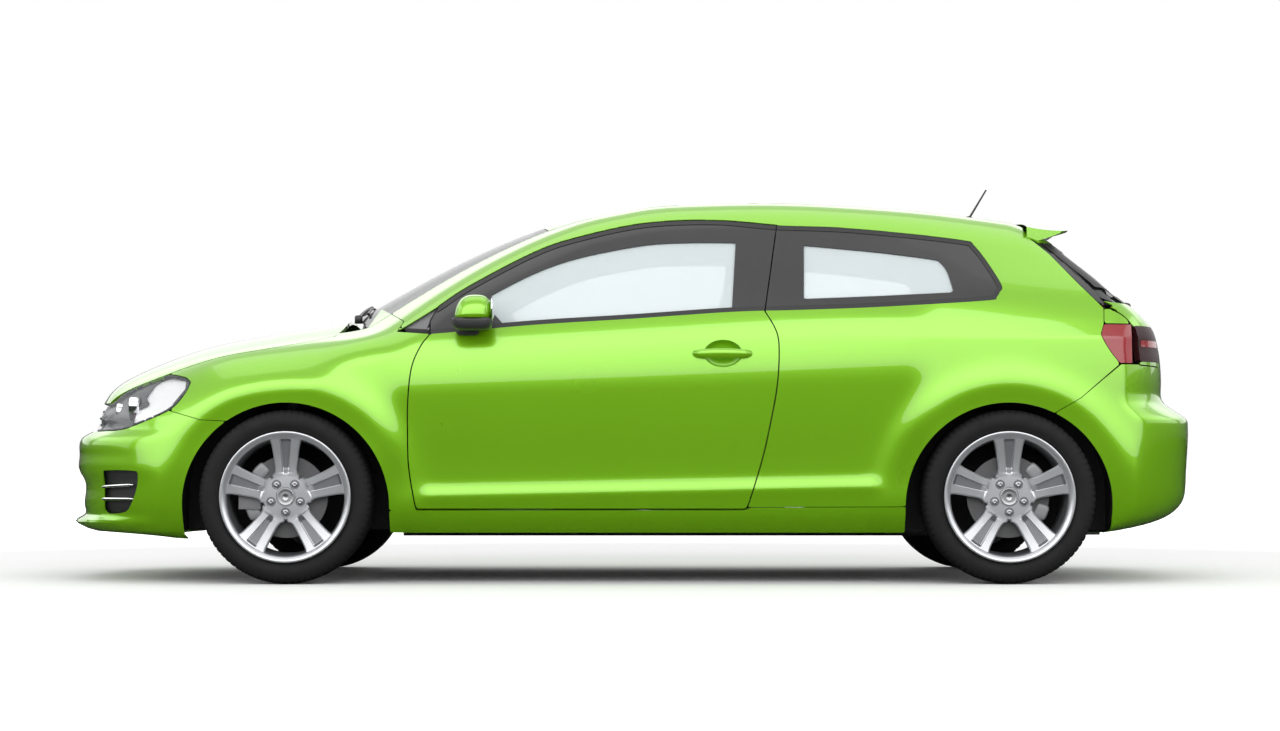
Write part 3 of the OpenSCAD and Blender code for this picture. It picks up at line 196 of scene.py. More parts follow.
def hit(kind, c, u, v, sink=0.0):
    """Points where the rays meet the body surface sunk by a depth, found by halving the interval."""
    o, d = rays(kind, c, u, v)
    lo, hi = np.full(u.shape, 10.0), np.full(u.shape, 1400.0)
    for _ in range(22):
        mid = (lo + hi) / 2
        inside = form(o + d * mid[..., None]) < -sink
        lo, hi = np.where(inside, mid, lo), np.where(inside, hi, mid)
    return o + d * ((lo + hi) / 2)[..., None]


# ---------------------------------------------------------------- outlines

VIEWS = {"side": (0, 2), "plan": (0, 1), "end": (1, 2)}


def curve(points, steps=6):
    """Smooth line through points: each span is a Catmull-Rom arc."""
    p = np.array(points, float)
    i = np.arange(len(p) - 1)
    a, b, c, d = p[np.maximum(i - 1, 0)], p[:-1], p[1:], p[np.minimum(i + 2, len(p) - 1)]
    t = (np.arange(steps) / steps)[:, None, None]
    q = 0.5 * (2 * b + (c - a) * t + (2 * a - 5 * b + 4 * c - d) * t**2 + (3 * b - a - 3 * c + d) * t**3)
    return np.vstack([q.transpose(1, 0, 2).reshape(-1, 2), p[-1:]])


def nearest(q, poly):
    """Distance to a closed outline, positive inside it, and the nearest point on it."""
    a = np.asarray(poly, float)
    b = np.roll(a, -1, 0)
    ab = b - a
    flat = q.reshape(-1, 2)
    ap = flat[:, None, :] - a[None]
    t = np.clip((ap * ab).sum(-1) / np.maximum((ab**2).sum(-1), 1e-9), 0, 1)
    c = a + ab * t[..., None]
    dist = np.hypot(*(flat[:, None, :] - c).transpose(2, 0, 1))
    k = dist.argmin(1)
    rows = np.arange(len(flat))
    ay, by, py = a[:, 1], b[:, 1], flat[:, 1:2]
    rise = np.where(by == ay, 1, by - ay)
    crosses = ((ay <= py) != (by <= py)) & (flat[:, :1] < a[:, 0] + (py - ay) / rise * ab[:, 0])
    inside = crosses.sum(1) % 2 == 1
    return (np.where(inside, 1, -1) * dist[rows, k]).reshape(q.shape[:-1]), c[rows, k].reshape(q.shape)


def moved(poly):
    """A side or plan outline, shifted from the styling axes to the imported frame."""
    return np.asarray(poly, float) + [SHIFT, 0]


def mirrored(poly):
    """A plan outline closed by its mirror image across the car's middle."""
    p = np.asarray(poly, float)
    return np.vstack([p, p[::-1] * [1, -1]])


def circle(x, z, r, n=180):
    a = np.linspace(0, 2 * np.pi, n, endpoint=False)
    return np.stack([x + r * np.cos(a), z + r * np.sin(a)], -1)


def panel_mesh(kind, c, u, v, cuts, sink=0.0, keep=None):
    """Grid of rays over the body, trimmed by outlines: cells outside an outline go, and the rim is moved onto it.

    cuts holds (view, outline, side, margin): side +1 keeps the inside, -1 the outside, and margin moves the line
    inwards from the kept side."""
    uu, vv = np.meshgrid(np.linspace(*u), np.linspace(*v), indexing="ij")
    p = hit(kind, c, uu, vv, sink)
    prepared = [(VIEWS[view], np.asarray(poly, float), side, margin) for view, poly, side, margin in cuts]

    def measure(p):
        best = np.full(p.shape[:-1], 1e9)
        goal = p.copy()
        for axes, poly, side, margin in prepared:
            q = p[..., axes]
            d, near = nearest(q, poly)
            d = d * side - margin
            way = (q - near) / np.maximum(np.abs(d + margin), 1e-6)[..., None]
            way = way * np.sign(d + margin)[..., None]
            spot = near + way * margin
            less = d < best
            best = np.where(less, d, best)
            g = p.copy()
            g[..., axes[0]], g[..., axes[1]] = spot[..., 0], spot[..., 1]
            goal = np.where(less[..., None], g, goal)
        return best, goal

    if prepared:
        middle = (p[:-1, :-1] + p[1:, :-1] + p[:-1, 1:] + p[1:, 1:]) / 4
        cells = measure(middle)[0] > 0
    else:
        cells = np.ones((p.shape[0] - 1, p.shape[1] - 1), bool)
    if keep is not None:
        cells &= keep((p[:-1, :-1] + p[1:, 1:]) / 2)
    count = np.zeros(p.shape[:2], int)
    for i in (0, 1):
        for j in (0, 1):
            count[i:count.shape[0] - 1 + i, j:count.shape[1] - 1 + j] += cells
    rim = (count > 0) & (count < 4)
    size = np.linalg.norm(p[1:, 1:] - p[:-1, :-1], axis=-1).max()
    for _ in range(3 if prepared else 0):
        d, goal = measure(p[rim])
        go = np.abs(d) < 1.6 * size
        au, av = aims(kind, c, goal)
        q = hit(kind, c, au, av, sink)
        p[rim] = np.where(go[:, None], q, p[rim])
    number = np.full(p.shape[:2], -1)
    used = count > 0
    number[used] = np.arange(used.sum())
    quads = np.stack([number[:-1, :-1], number[1:, :-1], number[1:, 1:], number[:-1, 1:]], -1)[cells]
    return p[used], quads


# ---------------------------------------------------------------- meshes


def make(name, verts, faces, material, body, node=None, smooth=True):
    """One mesh from whole arrays of vertices in mm and of faces."""
    mesh = bpy.data.meshes.new(name)
    verts = np.asarray(verts, float).reshape(-1, 3) * MM
    faces = np.asarray(faces, int)
    mesh.from_pydata(verts.tolist(), [], faces.tolist())
    mesh.polygons.foreach_set("use_smooth", np.full(len(mesh.polygons), smooth))
    mesh.update()
    obj = bpy.data.objects.new(name, mesh)
    bpy.context.collection.objects.link(obj)
    mesh.materials.append(material)
    if body:
        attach(obj, body)
    for n in [node] if isinstance(node, str) else node or []:
        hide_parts(n)
    return obj


def merge(*parts):
    """Joins (vertices, faces) pairs into one."""
    verts, faces, start = [], [], 0
    for v, f in parts:
        v = np.asarray(v, float).reshape(-1, 3)
        verts.append(v)
        faces.append(np.asarray(f, int) + start)
        start += len(v)
    return np.vstack(verts), np.vstack(faces)


def grid_faces(nu, nv, closed_u=False, closed_v=False):
    i, j = np.meshgrid(np.arange(nu - (not closed_u)), np.arange(nv - (not closed_v)), indexing="ij")
    i2, j2 = (i + 1) % nu, (j + 1) % nv
    return np.stack([i * nv + j, i2 * nv + j, i2 * nv + j2, i * nv + j2], -1).reshape(-1, 4)


def flip_y(part):
    v, f = part
    return np.asarray(v) * [1, -1, 1], np.asarray(f)[:, ::-1]


def revolve(profile, n=96, closed=True, axis="y"):
    """Turns a profile of (radius, along) round the Y axis, or round X or Z."""
    p = np.array(profile, float)
    a = np.linspace(0, 2 * np.pi, n, endpoint=False)
    r, t = p[:, 0][None], p[:, 1][None]
    v = {"y": np.stack([r * np.cos(a)[:, None], t + 0 * a[:, None], r * np.sin(a)[:, None]], -1),
        "x": np.stack([t + 0 * a[:, None], r * np.cos(a)[:, None], r * np.sin(a)[:, None]], -1),
        "z": np.stack([r * np.cos(a)[:, None], r * np.sin(a)[:, None], t + 0 * a[:, None]], -1)}[axis]
    f = grid_faces(n, len(p), True, closed)
    return v.reshape(-1, 3), f if axis == "z" else f[:, ::-1]


def box(lo, hi, soft=0.0):
    """A box from six grids, or a pillow shape when soft is over 0: each point of a unit cube is pushed outwards
    by a superellipsoid's power."""
    lo, hi = np.array(lo, float), np.array(hi, float)
    n = 2 if soft == 0 else 15
    t = np.linspace(-1, 1, n)
    a, b = np.meshgrid(t, t, indexing="ij")
    o = np.ones_like(a)
    sides = [np.stack(s, -1) for s in ((a, b, o), (b, a, -o), (o, a, b), (-o, b, a), (b, o, a), (a, -o, b))]
    v = np.concatenate([s.reshape(-1, 3) for s in sides])
    f = np.concatenate([grid_faces(n, n) + k * n * n for k in range(6)])
    if soft:
        v = np.sin(v * np.pi / 2)
        power = 2 / soft
        v = v / (np.abs(v) ** power).sum(-1, keepdims=True) ** (1 / power)
    return (lo + hi) / 2 + v * (hi - lo) / 2, f


def tube(path, r, n=12, closed=False):
    """Round bar along a path of points, with its rings across the path."""
    p = np.array(path, float)
    t = np.gradient(p, axis=0) if not closed else np.roll(p, -1, 0) - np.roll(p, 1, 0)
    t /= np.linalg.norm(t, axis=1, keepdims=True)
    up = np.where(np.abs(t[:, 2:3]) > 0.9, [[1.0, 0, 0]], [[0, 0, 1.0]])
    s = np.cross(t, up)
    s /= np.linalg.norm(s, axis=1, keepdims=True)
    w = np.cross(s, t)
    a = np.linspace(0, 2 * np.pi, n, endpoint=False)
    rr = np.broadcast_to(np.asarray(r, float), (len(p),))[:, None, None]
    v = p[:, None] + rr * (np.cos(a)[None, :, None] * s[:, None] + np.sin(a)[None, :, None] * w[:, None])
    return v.reshape(-1, 3), grid_faces(len(p), n, closed, True)[:, ::-1]


def thicken(obj, mm, edge=35):
    """Gives a sheet its thickness inwards and keeps its rim crisp."""
    s = obj.modifiers.new("thickness", "SOLIDIFY")
    s.thickness = mm * MM
    s.offset = -1
    e = obj.modifiers.new("crisp", "EDGE_SPLIT")
    e.split_angle = math.radians(edge)
    return obj


# ---------------------------------------------------------------- materials


class Wire:
    """Shader sockets that add, subtract, multiply and divide like numbers."""

    def __init__(self, tree, socket):
        self.tree, self.socket = tree, socket

    def math(self, op, other=None, third=None):
        node = self.tree.nodes.new("ShaderNodeMath")
        node.operation = op
        for k, value in enumerate([self, other, third]):
            if isinstance(value, Wire):
                self.tree.links.new(value.socket, node.inputs[k])
            elif value is not None:
                node.inputs[k].default_value = value
        return Wire(self.tree, node.outputs[0])

    def __add__(self, o):
        return self.math("ADD", o)

    def __sub__(self, o):
        return self.math("SUBTRACT", o)

    def __mul__(self, o):
        return self.math("MULTIPLY", o)

    def __truediv__(self, o):
        return self.math("DIVIDE", o)

    def node(self, kind, **inputs):
        n = self.tree.nodes.new(kind)
        for key, value in inputs.items():
            if isinstance(value, Wire):
                self.tree.links.new(value.socket, n.inputs[key])
            else:
                n.inputs[key].default_value = value
        return n

    def noise(self, scale, detail=2.0):
        n = self.node("ShaderNodeTexNoise", Vector=self)
        n.inputs["Scale"].default_value = scale
        n.inputs["Detail"].default_value = detail
        return Wire(self.tree, n.outputs[0])

    def part(self, axis):
        n = self.tree.nodes.new("ShaderNodeSeparateXYZ")
        self.tree.links.new(self.socket, n.inputs[0])
        return Wire(self.tree, n.outputs[axis])

    def blend(self, low, high):
        n = self.tree.nodes.new("ShaderNodeMix")
        n.data_type = "RGBA"
        self.tree.links.new(self.socket, n.inputs[0])
        n.inputs[6].default_value = (*low, 1)
        n.inputs[7].default_value = (*high, 1)
        return Wire(self.tree, n.outputs[2])

    def into(self, shader, name):
        self.tree.links.new(self.socket, shader.inputs[name])

    def bump(self, shader, depth, strength=1.0):
        n = self.node("ShaderNodeBump", Height=self)
        n.inputs["Strength"].default_value = strength
        n.inputs["Distance"].default_value = depth
        self.tree.links.new(n.outputs[0], shader.inputs["Normal"])


def material(name, color, rough=0.5, metal=0.0, coat=0.0, alpha=1.0, spec=0.5):
    m = bpy.data.materials.new(name)
    m.use_nodes = True
    shader = m.node_tree.nodes["Principled BSDF"]
    shader.inputs["Base Color"].default_value = (*color, 1)
    shader.inputs["Roughness"].default_value = rough
    shader.inputs["Metallic"].default_value = metal
    shader.inputs["Coat Weight"].default_value = coat
    shader.inputs["Coat Roughness"].default_value = 0.03
    shader.inputs["Alpha"].default_value = alpha
    shader.inputs["Specular IOR Level"].default_value = spec
    place = m.node_tree.nodes.new("ShaderNodeTexCoord")
    return m, shader, Wire(m.node_tree, place.outputs["Object"])


def plain(name, color, rough=0.5, metal=0.0, coat=0.0, grain=400.0, depth=0.0002, spread=0.12, alpha=1.0, spec=0.5):
    """A surface whose tone and roughness drift a little, with a fine grain."""
    m, shader, at = material(name, color, rough, metal, coat, alpha, spec)
    tone = at.noise(9.0)
    low = tuple(c * (1 - spread) for c in color)
    high = tuple(min(c * (1 + spread), 1) for c in color)
    tone.blend(low, high).into(shader, "Base Color")
    (at.noise(23.0) * (rough * 0.3) + rough * 0.85).into(shader, "Roughness")
    if depth:
        at.noise(grain, 1.0).bump(shader, depth, 0.5)
    return m


def paint_material():
    m, shader, at = material("lime_paint", (0.165, 0.42, 0.0025), 0.28, 0.5, 1.0)
    flake = at.noise(2600.0, 0.0)
    flake.blend((0.157, 0.40, 0.002), (0.173, 0.44, 0.003)).into(shader, "Base Color")
    (at.noise(3.0) * 0.03 + 0.265).into(shader, "Roughness")
    return m


PAINT = paint_material()
DARK = plain("dark_trim", (0.018, 0.018, 0.019), 0.45)
RUBBER = plain("rubber", (0.0062, 0.0062, 0.0062), 0.72, spec=0.25)
BAND = plain("window_band", (0.018, 0.018, 0.019), 0.3, coat=0.2, depth=0)
SEAL = plain("black_seal", (0.006, 0.006, 0.006), 0.5, depth=0)
CAVITY = plain("underbody_black", (0.01, 0.01, 0.011), 0.8)
CHROME = plain("chrome", (0.82, 0.83, 0.85), 0.08, 1.0, depth=0, spread=0.03)
SILVER = plain("wheel_silver", (0.50, 0.51, 0.53), 0.30, 0.75, coat=0.6, depth=0, spread=0.04)
# Darker grey for the wheel's barrel, the floors of the spoke grooves and the rings round the bolts: painted shade in
# these recesses.
WHEEL_SHADE = plain("wheel_groove", (0.17, 0.175, 0.185), 0.4, 0.6, depth=0)
STEEL = plain("turned_steel", (0.36, 0.36, 0.37), 0.35, 0.9, depth=0)
CAST = plain("cast_metal", (0.16, 0.16, 0.165), 0.6, 0.6)
CLOTH = plain("seat_cloth", (0.52, 0.53, 0.54), 0.9, grain=900.0, depth=0.0006)
LINING = plain("pale_lining", (0.62, 0.62, 0.61), 0.85, grain=700.0, depth=0.0004)
GREY_TRIM = plain("grey_trim", (0.14, 0.14, 0.145), 0.55)
RED = plain("red_lens", (0.22, 0.006, 0.010), 0.2, coat=0.5, depth=0)
DARK_RED = plain("dark_red_lens", (0.024, 0.004, 0.005), 0.42, spec=0.3, depth=0)


def glass_material(name, color, alpha, coat=1.0, spec=0.5):
    m, shader, at = material(name, color, 0.03, 0.0, coat, alpha, spec)
    (at.noise(2.0) * 0.04 + (alpha - 0.02)).into(shader, "Alpha")
    return m


# Pale whitish base colour of the side windows: painted reflection of a bright sky on glass that is clear.
GLASS = glass_material("window_glass", (0.80, 0.88, 0.90), 0.42)
SCREEN = glass_material("screen_glass", (0.06, 0.07, 0.068), 0.72, 0.1, 0.35)
PRIVACY = glass_material("dark_glass", (0.012, 0.013, 0.013), 0.88, 0.1, 0.35)
LENS = glass_material("lamp_lens", (0.25, 0.27, 0.28), 0.10)
SMOKE = plain("lamp_housing", (0.02, 0.02, 0.022), 0.4, depth=0)
SHADE = plain("lamp_shade", (0.055, 0.058, 0.062), 0.3, coat=0.4, depth=0)
# White base colour on the headlamp bowls: a painted reflection, standing in for the bright light a chrome bowl would
# mirror.
REFLECTOR = plain("lamp_reflector", (0.88, 0.89, 0.90), 0.3, 0.25, depth=0, spread=0.04)
DISC = plain("brake_disc", (0.085, 0.085, 0.088), 0.45, 0.5, depth=0)
CALIPER = plain("caliper", (0.22, 0.225, 0.23), 0.5, 0.4)

# ---------------------------------------------------------------- outlines of the panels

DOOR_FRONT = curve([(-777, 240), (-793, 300), (-814, 430), (-818, 560), (-817, 664), (-805, 784), (-775, 862),
    (-739, 912)])
DOOR_REAR = curve([(483, 996), (524, 920), (533, 846), (525, 718), (502, 590), (476, 471), (445, 365), (405, 240)])
DOOR_BOTTOM = 274
TOP_POINTS = [(-865, 921), (-711, 1018), (-602, 1093), (-365, 1221), (-203, 1278), (42, 1331), (298, 1342),
    (534, 1322), (805, 1311), (1201, 1270), (1270, 1240), (1353, 1102), (1347, 1068), (1334, 1049)]
WINDOW_TOP = curve(TOP_POINTS)
WINDOW_FOOT = curve([(1334, 1049), (1297, 1036), (900, 1011), (611, 1000), (363, 993), (0, 968), (-367, 945),
    (-739, 912), (-865, 913)])
DLO = np.vstack([WINDOW_TOP[:-1], WINDOW_FOOT[:-1]])
below = DOOR_FRONT[:, 1] > DOOR_BOTTOM
DOOR = np.vstack([DOOR_FRONT[below], [[-741, 960], [-711, 1018]], curve(TOP_POINTS[1:8])[1:],
    DOOR_REAR[DOOR_REAR[:, 1] > DOOR_BOTTOM], [[413, DOOR_BOTTOM], [-784, DOOR_BOTTOM]]])
FRONT_PANE = np.vstack([curve([(-519, 1057), (-365, 1138), (-202, 1197), (42, 1246), (220, 1256), (381, 1255)]),
    curve([(363, 1007), (0, 982), (-367, 954), (-470, 946)]), [[-519, 1000]]])
REAR_PANE = np.vstack([[[632, 1245]], curve([(900, 1220), (1100, 1194), (1135, 1180), (1159, 1143), (1177, 1071)]),
    [[1165, 1066], [900, 1052], [626, 1041]]])


def top_line(points):
    """Side outline of a line drawn in plan: its height is where the body surface lies above it."""
    p = np.array(points, float)
    q = np.stack([p[:, 0] + SHIFT, p[:, 1], np.full(len(p), 1000.0)], -1)
    o = q.copy()
    lo, hi = np.full(len(p), -600.0), np.full(len(p), 700.0)
    for _ in range(24):
        mid = (lo + hi) / 2
        o[:, 2] = 1000 + mid
        inside = form(o) < 0
        lo, hi = np.where(inside, mid, lo), np.where(inside, hi, mid)
    return np.stack([p[:, 0], 1000 + lo], -1)


SCREEN_SIDE = curve([(-985, 630), (-915, 602), (-700, 566), (-500, 532), (-318, 500)])
SCREEN_HEAD = curve([(-352, 0), (-345, 250), (-318, 500)])
SCREEN_FOOT = curve([(-1060, 0), (-1045, 250), (-1015, 480), (-985, 630)])
ROOF_SIDE = curve([(-318, 500), (0, 520), (600, 528), (1200, 518), (1465, 504)])
BONNET_SIDE = curve([(-2085, 430), (-2040, 500), (-1995, 545), (-1951, 576), (-1884, 622),
    (-1800, 655), (-1700, 686), (-1566, 716), (-1430, 729), (-1293, 718), (-1190, 700), (-1105, 678)])
BONNET_BACK = curve([(-1105, 678), (-1088, 560), (-1082, 400), (-1086, 200), (-1090, 0)])
LAMP = curve([(-2080, 655), (-1951, 659), (-1884, 703), (-1813, 737), (-1718, 767), (-1640, 755)])
LAMP = np.vstack([LAMP, curve([(-1618, 738), (-1640, 690), (-1694, 634), (-1822, 581), (-1906, 561), (-2080, 560)])])
VENT = np.vstack([curve([(-1951, 404), (-1938, 414), (-1822, 413), (-1807, 398), (-1815, 340), (-1846, 274),
    (-1878, 258), (-1930, 255), (-1950, 268)], 4)])
FRONT_SEAM = np.array([(-1480, 594), (-1574, 599), (-1694, 633)])
REAR_SEAM = np.array([(1538, 624), (1635, 680), (1780, 805)])
TAIL_LAMP = curve([(1725, 950), (1716, 925), (1714, 905), (1745, 850), (1780, 806)], 4)
TAILGATE = np.array([(-600, 1305), (-614, 1272), (-652, 1214), (-778, 1008), (-778, 800), (-620, 796),
    (-580, 740), (-560, 658), (560, 658), (580, 740), (620, 796), (778, 800), (778, 1008), (652, 1214), (614, 1272),
    (600, 1305)])
BACKLIGHT = np.vstack([curve([(-580, 1262), (-620, 1246), (-736, 1056), (-718, 1028), (-500, 1018)], 5),
    curve([(500, 1018), (718, 1028), (736, 1056), (620, 1246), (580, 1262)], 5)])
GLASS_CUT = np.array([(-580, 1262), (-800, 1262), (-800, 1036), (-718, 1028), (-500, 1018), (500, 1018), (718, 1028),
    (800, 1036), (800, 1262), (580, 1262)])
TAILGATE_LAMP = np.array([(-772, 945), (-774, 813), (-585, 813), (-562, 850), (-575, 945)])
GAP = 2.3
SEAM = 1.2
LEFT_RIGHT = (("left", 1), ("right", -1))


def twin(name, part, mat, body, node=None, thick=None, edge=35):
    """Makes a left-hand piece and its mirror image. {} in a name stands for the side."""
    for side, sign in LEFT_RIGHT:
        p = part if sign > 0 else flip_y(part)
        o = make(name.format(side), *p, mat, body.format(side), [n.format(side) for n in node or []])
        if thick:
            thicken(o, thick, edge)


def sheet(name, part, mat, body, thick, node=None):
    """Makes a middle piece from an outer skin."""
    thicken(make(name, *part, mat, body, node), thick)


def ring(x0, x1, a0, a1, cell, cuts, sink=0.0, c=600, keep=None):
    """Sheet round the left side: x runs along it and the angle, in degrees, up it, seen from the height c."""
    nx = int((x1 - x0) / cell) + 1
    na = int(math.radians(a1 - a0) * 850 / cell) + 1
    turn = (math.radians(a0), math.radians(a1), na)
    return panel_mesh("ring", c, (x0 + SHIFT, x1 + SHIFT, nx), turn, cuts, sink, keep)


def drum(a0, a1, z0, z1, cell, cuts, sink=0.0, cx=-1300, keep=None):
    """Sheet round an end: the angle, in degrees, runs round it and z up it, seen from the upright line at cx."""
    na = int(math.radians(a1 - a0) * 900 / cell) + 1
    turn, nz = (math.radians(a0), math.radians(a1), na), int((z1 - z0) / cell) + 1
    return panel_mesh("drum", cx + SHIFT, turn, (z0, z1, nz), cuts, sink, keep)


def roll(y0, y1, a0, a1, cell, cuts, sink=0.0, c=(-1250, 450), reach=700, keep=None):
    """Sheet over the car: y runs across it and the angle, in degrees, along it, seen from the line through c."""
    na = int(math.radians(a1 - a0) * reach / cell) + 1
    turn, ny = (math.radians(a0), math.radians(a1), na), int((y1 - y0) / cell) + 1
    return panel_mesh("roll", (c[0] + SHIFT, c[1]), (y0, y1, ny), turn, cuts, sink, keep)


def S(poly, side=1, margin=0.0):
    return ("side", moved(poly), side, margin)


def P(poly, side=1, margin=0.0):
    return ("plan", moved(poly), side, margin)


def E(poly, side=1, margin=0.0):
    return ("end", poly, side, margin)


def arch(x):
    """Outline of a wheel arch: a half circle on two uprights."""
    half = circle(x, ARCH_Z, ARCH_R + 1)[:91]
    return S(np.vstack([half, [[x - ARCH_R - 1, 100], [x + ARCH_R + 1, 100]]]), -1)


REAR_ARCH, FRONT_ARCH = arch(REAR_AXLE), arch(FRONT_AXLE)
CELL = 9
a = np.linspace(0, 2 * np.pi, 72, endpoint=False)
RECESS = np.stack([HANDLE_X + RECESS_RX * np.cos(a), HANDLE_Z + RECESS_RZ * np.sin(a)], -1)

# Doors: painted skin below the window line, dark bands and panes in it, an inner wall.
skin = ring(-840, 560, -24, 56, CELL, [S(DOOR, 1, GAP), S(DLO, -1, 0), S(RECESS, -1, 0)])
twin("door_skin_{}", skin, PAINT, "door_{}", ["door_{}"], 3.5)
band = ring(-840, 560, 15, 56, CELL, [S(DOOR, 1, GAP), S(DLO, 1, 0), S(FRONT_PANE, -1, 0)], 4)
twin("door_band_{}", band, BAND, "door_{}", None, 6)
pane = ring(-600, 420, 15, 56, CELL * 2, [S(FRONT_PANE, 1, -12)], 11)
twin("door_pane_{}", pane, GLASS, "door_{}", ["door_window_{}"], 4)
inner = ring(-760, 540, -24, 50, CELL * 2, [S(DOOR, 1, 28), S(FRONT_PANE, -1, 0), S(RECESS, -1, -2)], 12)
twin("door_inner_{}", inner, GREY_TRIM, "door_{}", None, 24)
seal = ring(-840, 560, 15, 56, CELL * 0.7, [S(DOOR, 1, GAP), S(DLO, 1, 0), S(DLO, -1, -SEAL_W)], 1.5)
twin("door_seal_{}", seal, SEAL, "door_{}", None, 5)


def dish(x, z, rx, rz, depth):
    """Rounded hollow in the left side: an ellipse whose floor sinks as a circle's arc does."""
    turn, t = np.meshgrid(np.linspace(0, 2 * np.pi, 97)[:-1], np.linspace(0.02, 1, 16), indexing="ij")
    px, pz = x + SHIFT + rx * t * np.cos(turn), z + rz * t * np.sin(turn)
    p = hit("flat", 0, px, pz)
    p[..., 1] += depth * np.sqrt(1 - t**2)
    return p.reshape(-1, 3), grid_faces(96, 16, True)[:, ::-1]


twin("handle_dish_{}", dish(HANDLE_X, HANDLE_Z, RECESS_RX, RECESS_RZ, 24), PAINT, "door_{}")

# Side frames: painted skin of the pillars, rail and quarter, with the rear window band.
BACK_LINE = [[1729, 1009], [1640, 1105], [1547, 1214], [1484, 1271], [1460, 1310]]
SIDE = np.vstack([[[-955, 1024], [-911, 1001], [-839, 961], [-862, 922], [-739, 913], [-300, 600],
    [413, 285], [413, 280], [1100, 283], [1537, 285]], REAR_SEAM[:2], [[1780, 803]], TAIL_LAMP[::-1], BACK_LINE,
    top_line(ROOF_SIDE)[::-1], top_line(SCREEN_SIDE)[::-1]])
skin = ring(-1000, 1800, -24, 80, CELL, [S(SIDE, 1, SEAM), S(DOOR, -1, GAP), S(DLO, -1, 0), REAR_ARCH])
twin("side_skin_{}", skin, PAINT, "root", ["side_frame_{}"], 3.5)
band = ring(420, 1380, 15, 56, CELL, [S(DLO, 1, 0), S(DOOR, -1, GAP), S(REAR_PANE, -1, 0)], 4)
twin("quarter_band_{}", band, BAND, "root", None, 6)
seal = ring(420, 1380, 15, 56, CELL * 0.7, [S(DLO, 1, 0), S(DOOR, -1, GAP), S(DLO, -1, -SEAL_W)], 1.5)
twin("quarter_seal_{}", seal, SEAL, "root", None, 5)
pane = ring(600, 1210, 15, 56, CELL * 2, [S(REAR_PANE, 1, -12)], 11)
twin("quarter_pane_{}", pane, GLASS, "root", ["quarter_windows"], 4)
inner = ring(-880, 1760, -24, 64, CELL * 2, [S(SIDE, 1, 16), S(DOOR, -1, 4), S(REAR_PANE, -1, -2), REAR_ARCH], 12)
twin("side_inner_{}", inner, GREY_TRIM, "root", None, 30)
trim = drum(-80, -18, 1000, 1320, CELL * 0.8, [E(TAILGATE, -1, GAP),
    S(np.vstack([BACK_LINE, [[1620, 1330], [1960, 1009]]]), 1, SEAM)], 2, 900)
corner = drum(-80, -18, 940, 1020, CELL * 0.8, [E(TAILGATE, -1, GAP),
    S([(1726, 952), (1729, 1007), (1960, 1007), (1960, 950)], 1, SEAM)], 0, 900)
twin("rear_pillar_trim_{}", flip_y(trim), BAND, "root", None, 3)
twin("rear_corner_{}", flip_y(corner), PAINT, "root", None, 3)
FENDER = np.vstack([[[-889, 272]], FRONT_SEAM, LAMP[LAMP[:, 1] > 634][::-1],
    [[-2000, 800], [-2000, 1060], [-960, 1060], [-911, 1001], [-839, 961], [-862, 922], [-739, 913]],
    DOOR_FRONT[::-1]])
BESIDE_BONNET = np.vstack([BONNET_SIDE, [[-1098, 600], [-1020, 620], [-985, 630]],
    SCREEN_SIDE[SCREEN_SIDE[:, 0] < -880], [[-700, 566], [-700, 1000], [-2200, 1000], [-2200, 430]]]) * [1, -1]
fender = ring(-1900, -700, -26, 62, CELL, [S(FENDER, 1, SEAM), S(DOOR, -1, GAP), S(LAMP, -1, GAP * 0.6), FRONT_ARCH,
    P(BESIDE_BONNET, 1, GAP)], c=500)
twin("fender_skin_{}", fender, PAINT, "root", ["front_fender_{}"], 3)
SKIRT = [(-900, 187), (1030, 187), (1030, 281), (436, 279), (404, 269), (-900, 268)]
skirt = ring(-900, 1030, -40, -14, CELL, [S(SKIRT, 1, 0), FRONT_ARCH, REAR_ARCH])
twin("skirt_{}", skirt, PAINT, "root", ["side_skirts"], 10)

# Middle panels. Each sheet is aimed from a centre inside the car, (x, z), and its cells are sized at a reach.
FROM_ROOF = dict(c=(550, 500), reach=950)
FROM_SCREEN = dict(c=(-500, 500), reach=850)
FROM_TAIL = dict(c=(1150, 800), reach=800)
ROOF = mirrored(np.vstack([SCREEN_HEAD, ROOF_SIDE[1:], [[1464, 0]]]))
roof = roll(-560, 560, 40, 140, CELL, [P(ROOF, 1, SEAM)], **FROM_ROOF)
sheet("roof_skin", roof, PAINT, "root", 3.5, "roof_panel")
lining = roll(-540, 540, 40, 140, CELL * 2, [P(ROOF, 1, 20)], 16, **FROM_ROOF)
sheet("roof_lining", lining, LINING, "root", 8)
SCREEN_LINE = mirrored(np.vstack([SCREEN_FOOT, SCREEN_SIDE[1:-1], SCREEN_HEAD[::-1]]))
glass = roll(-650, 650, 76, 146, CELL * 2, [P(SCREEN_LINE, 1, SEAM)], 1, **FROM_SCREEN)
sheet("windscreen_glass", glass, SCREEN, "root", 4, "windscreen")
border = roll(-650, 650, 76, 146, CELL, [P(SCREEN_LINE, 1, 0), P(SCREEN_LINE, -1, -BORDER_W)], 3, **FROM_SCREEN)
sheet("windscreen_seal", border, SEAL, "root", 3)
BONNET = mirrored(np.vstack([[[-2300, 0], [-2300, 300], [-2200, 360], [-2110, 410]], BONNET_SIDE, BONNET_BACK[1:]]))
ABOVE_NOSE = [(-2300, 663), (-900, 663), (-900, 1200), (-2300, 1200)]
bonnet = roll(-740, 740, 66, 178, CELL, [P(BONNET, 1, GAP), S(ABOVE_NOSE)], reach=800)
sheet("bonnet_skin", bonnet, PAINT, "bonnet", 12, "bonnet")

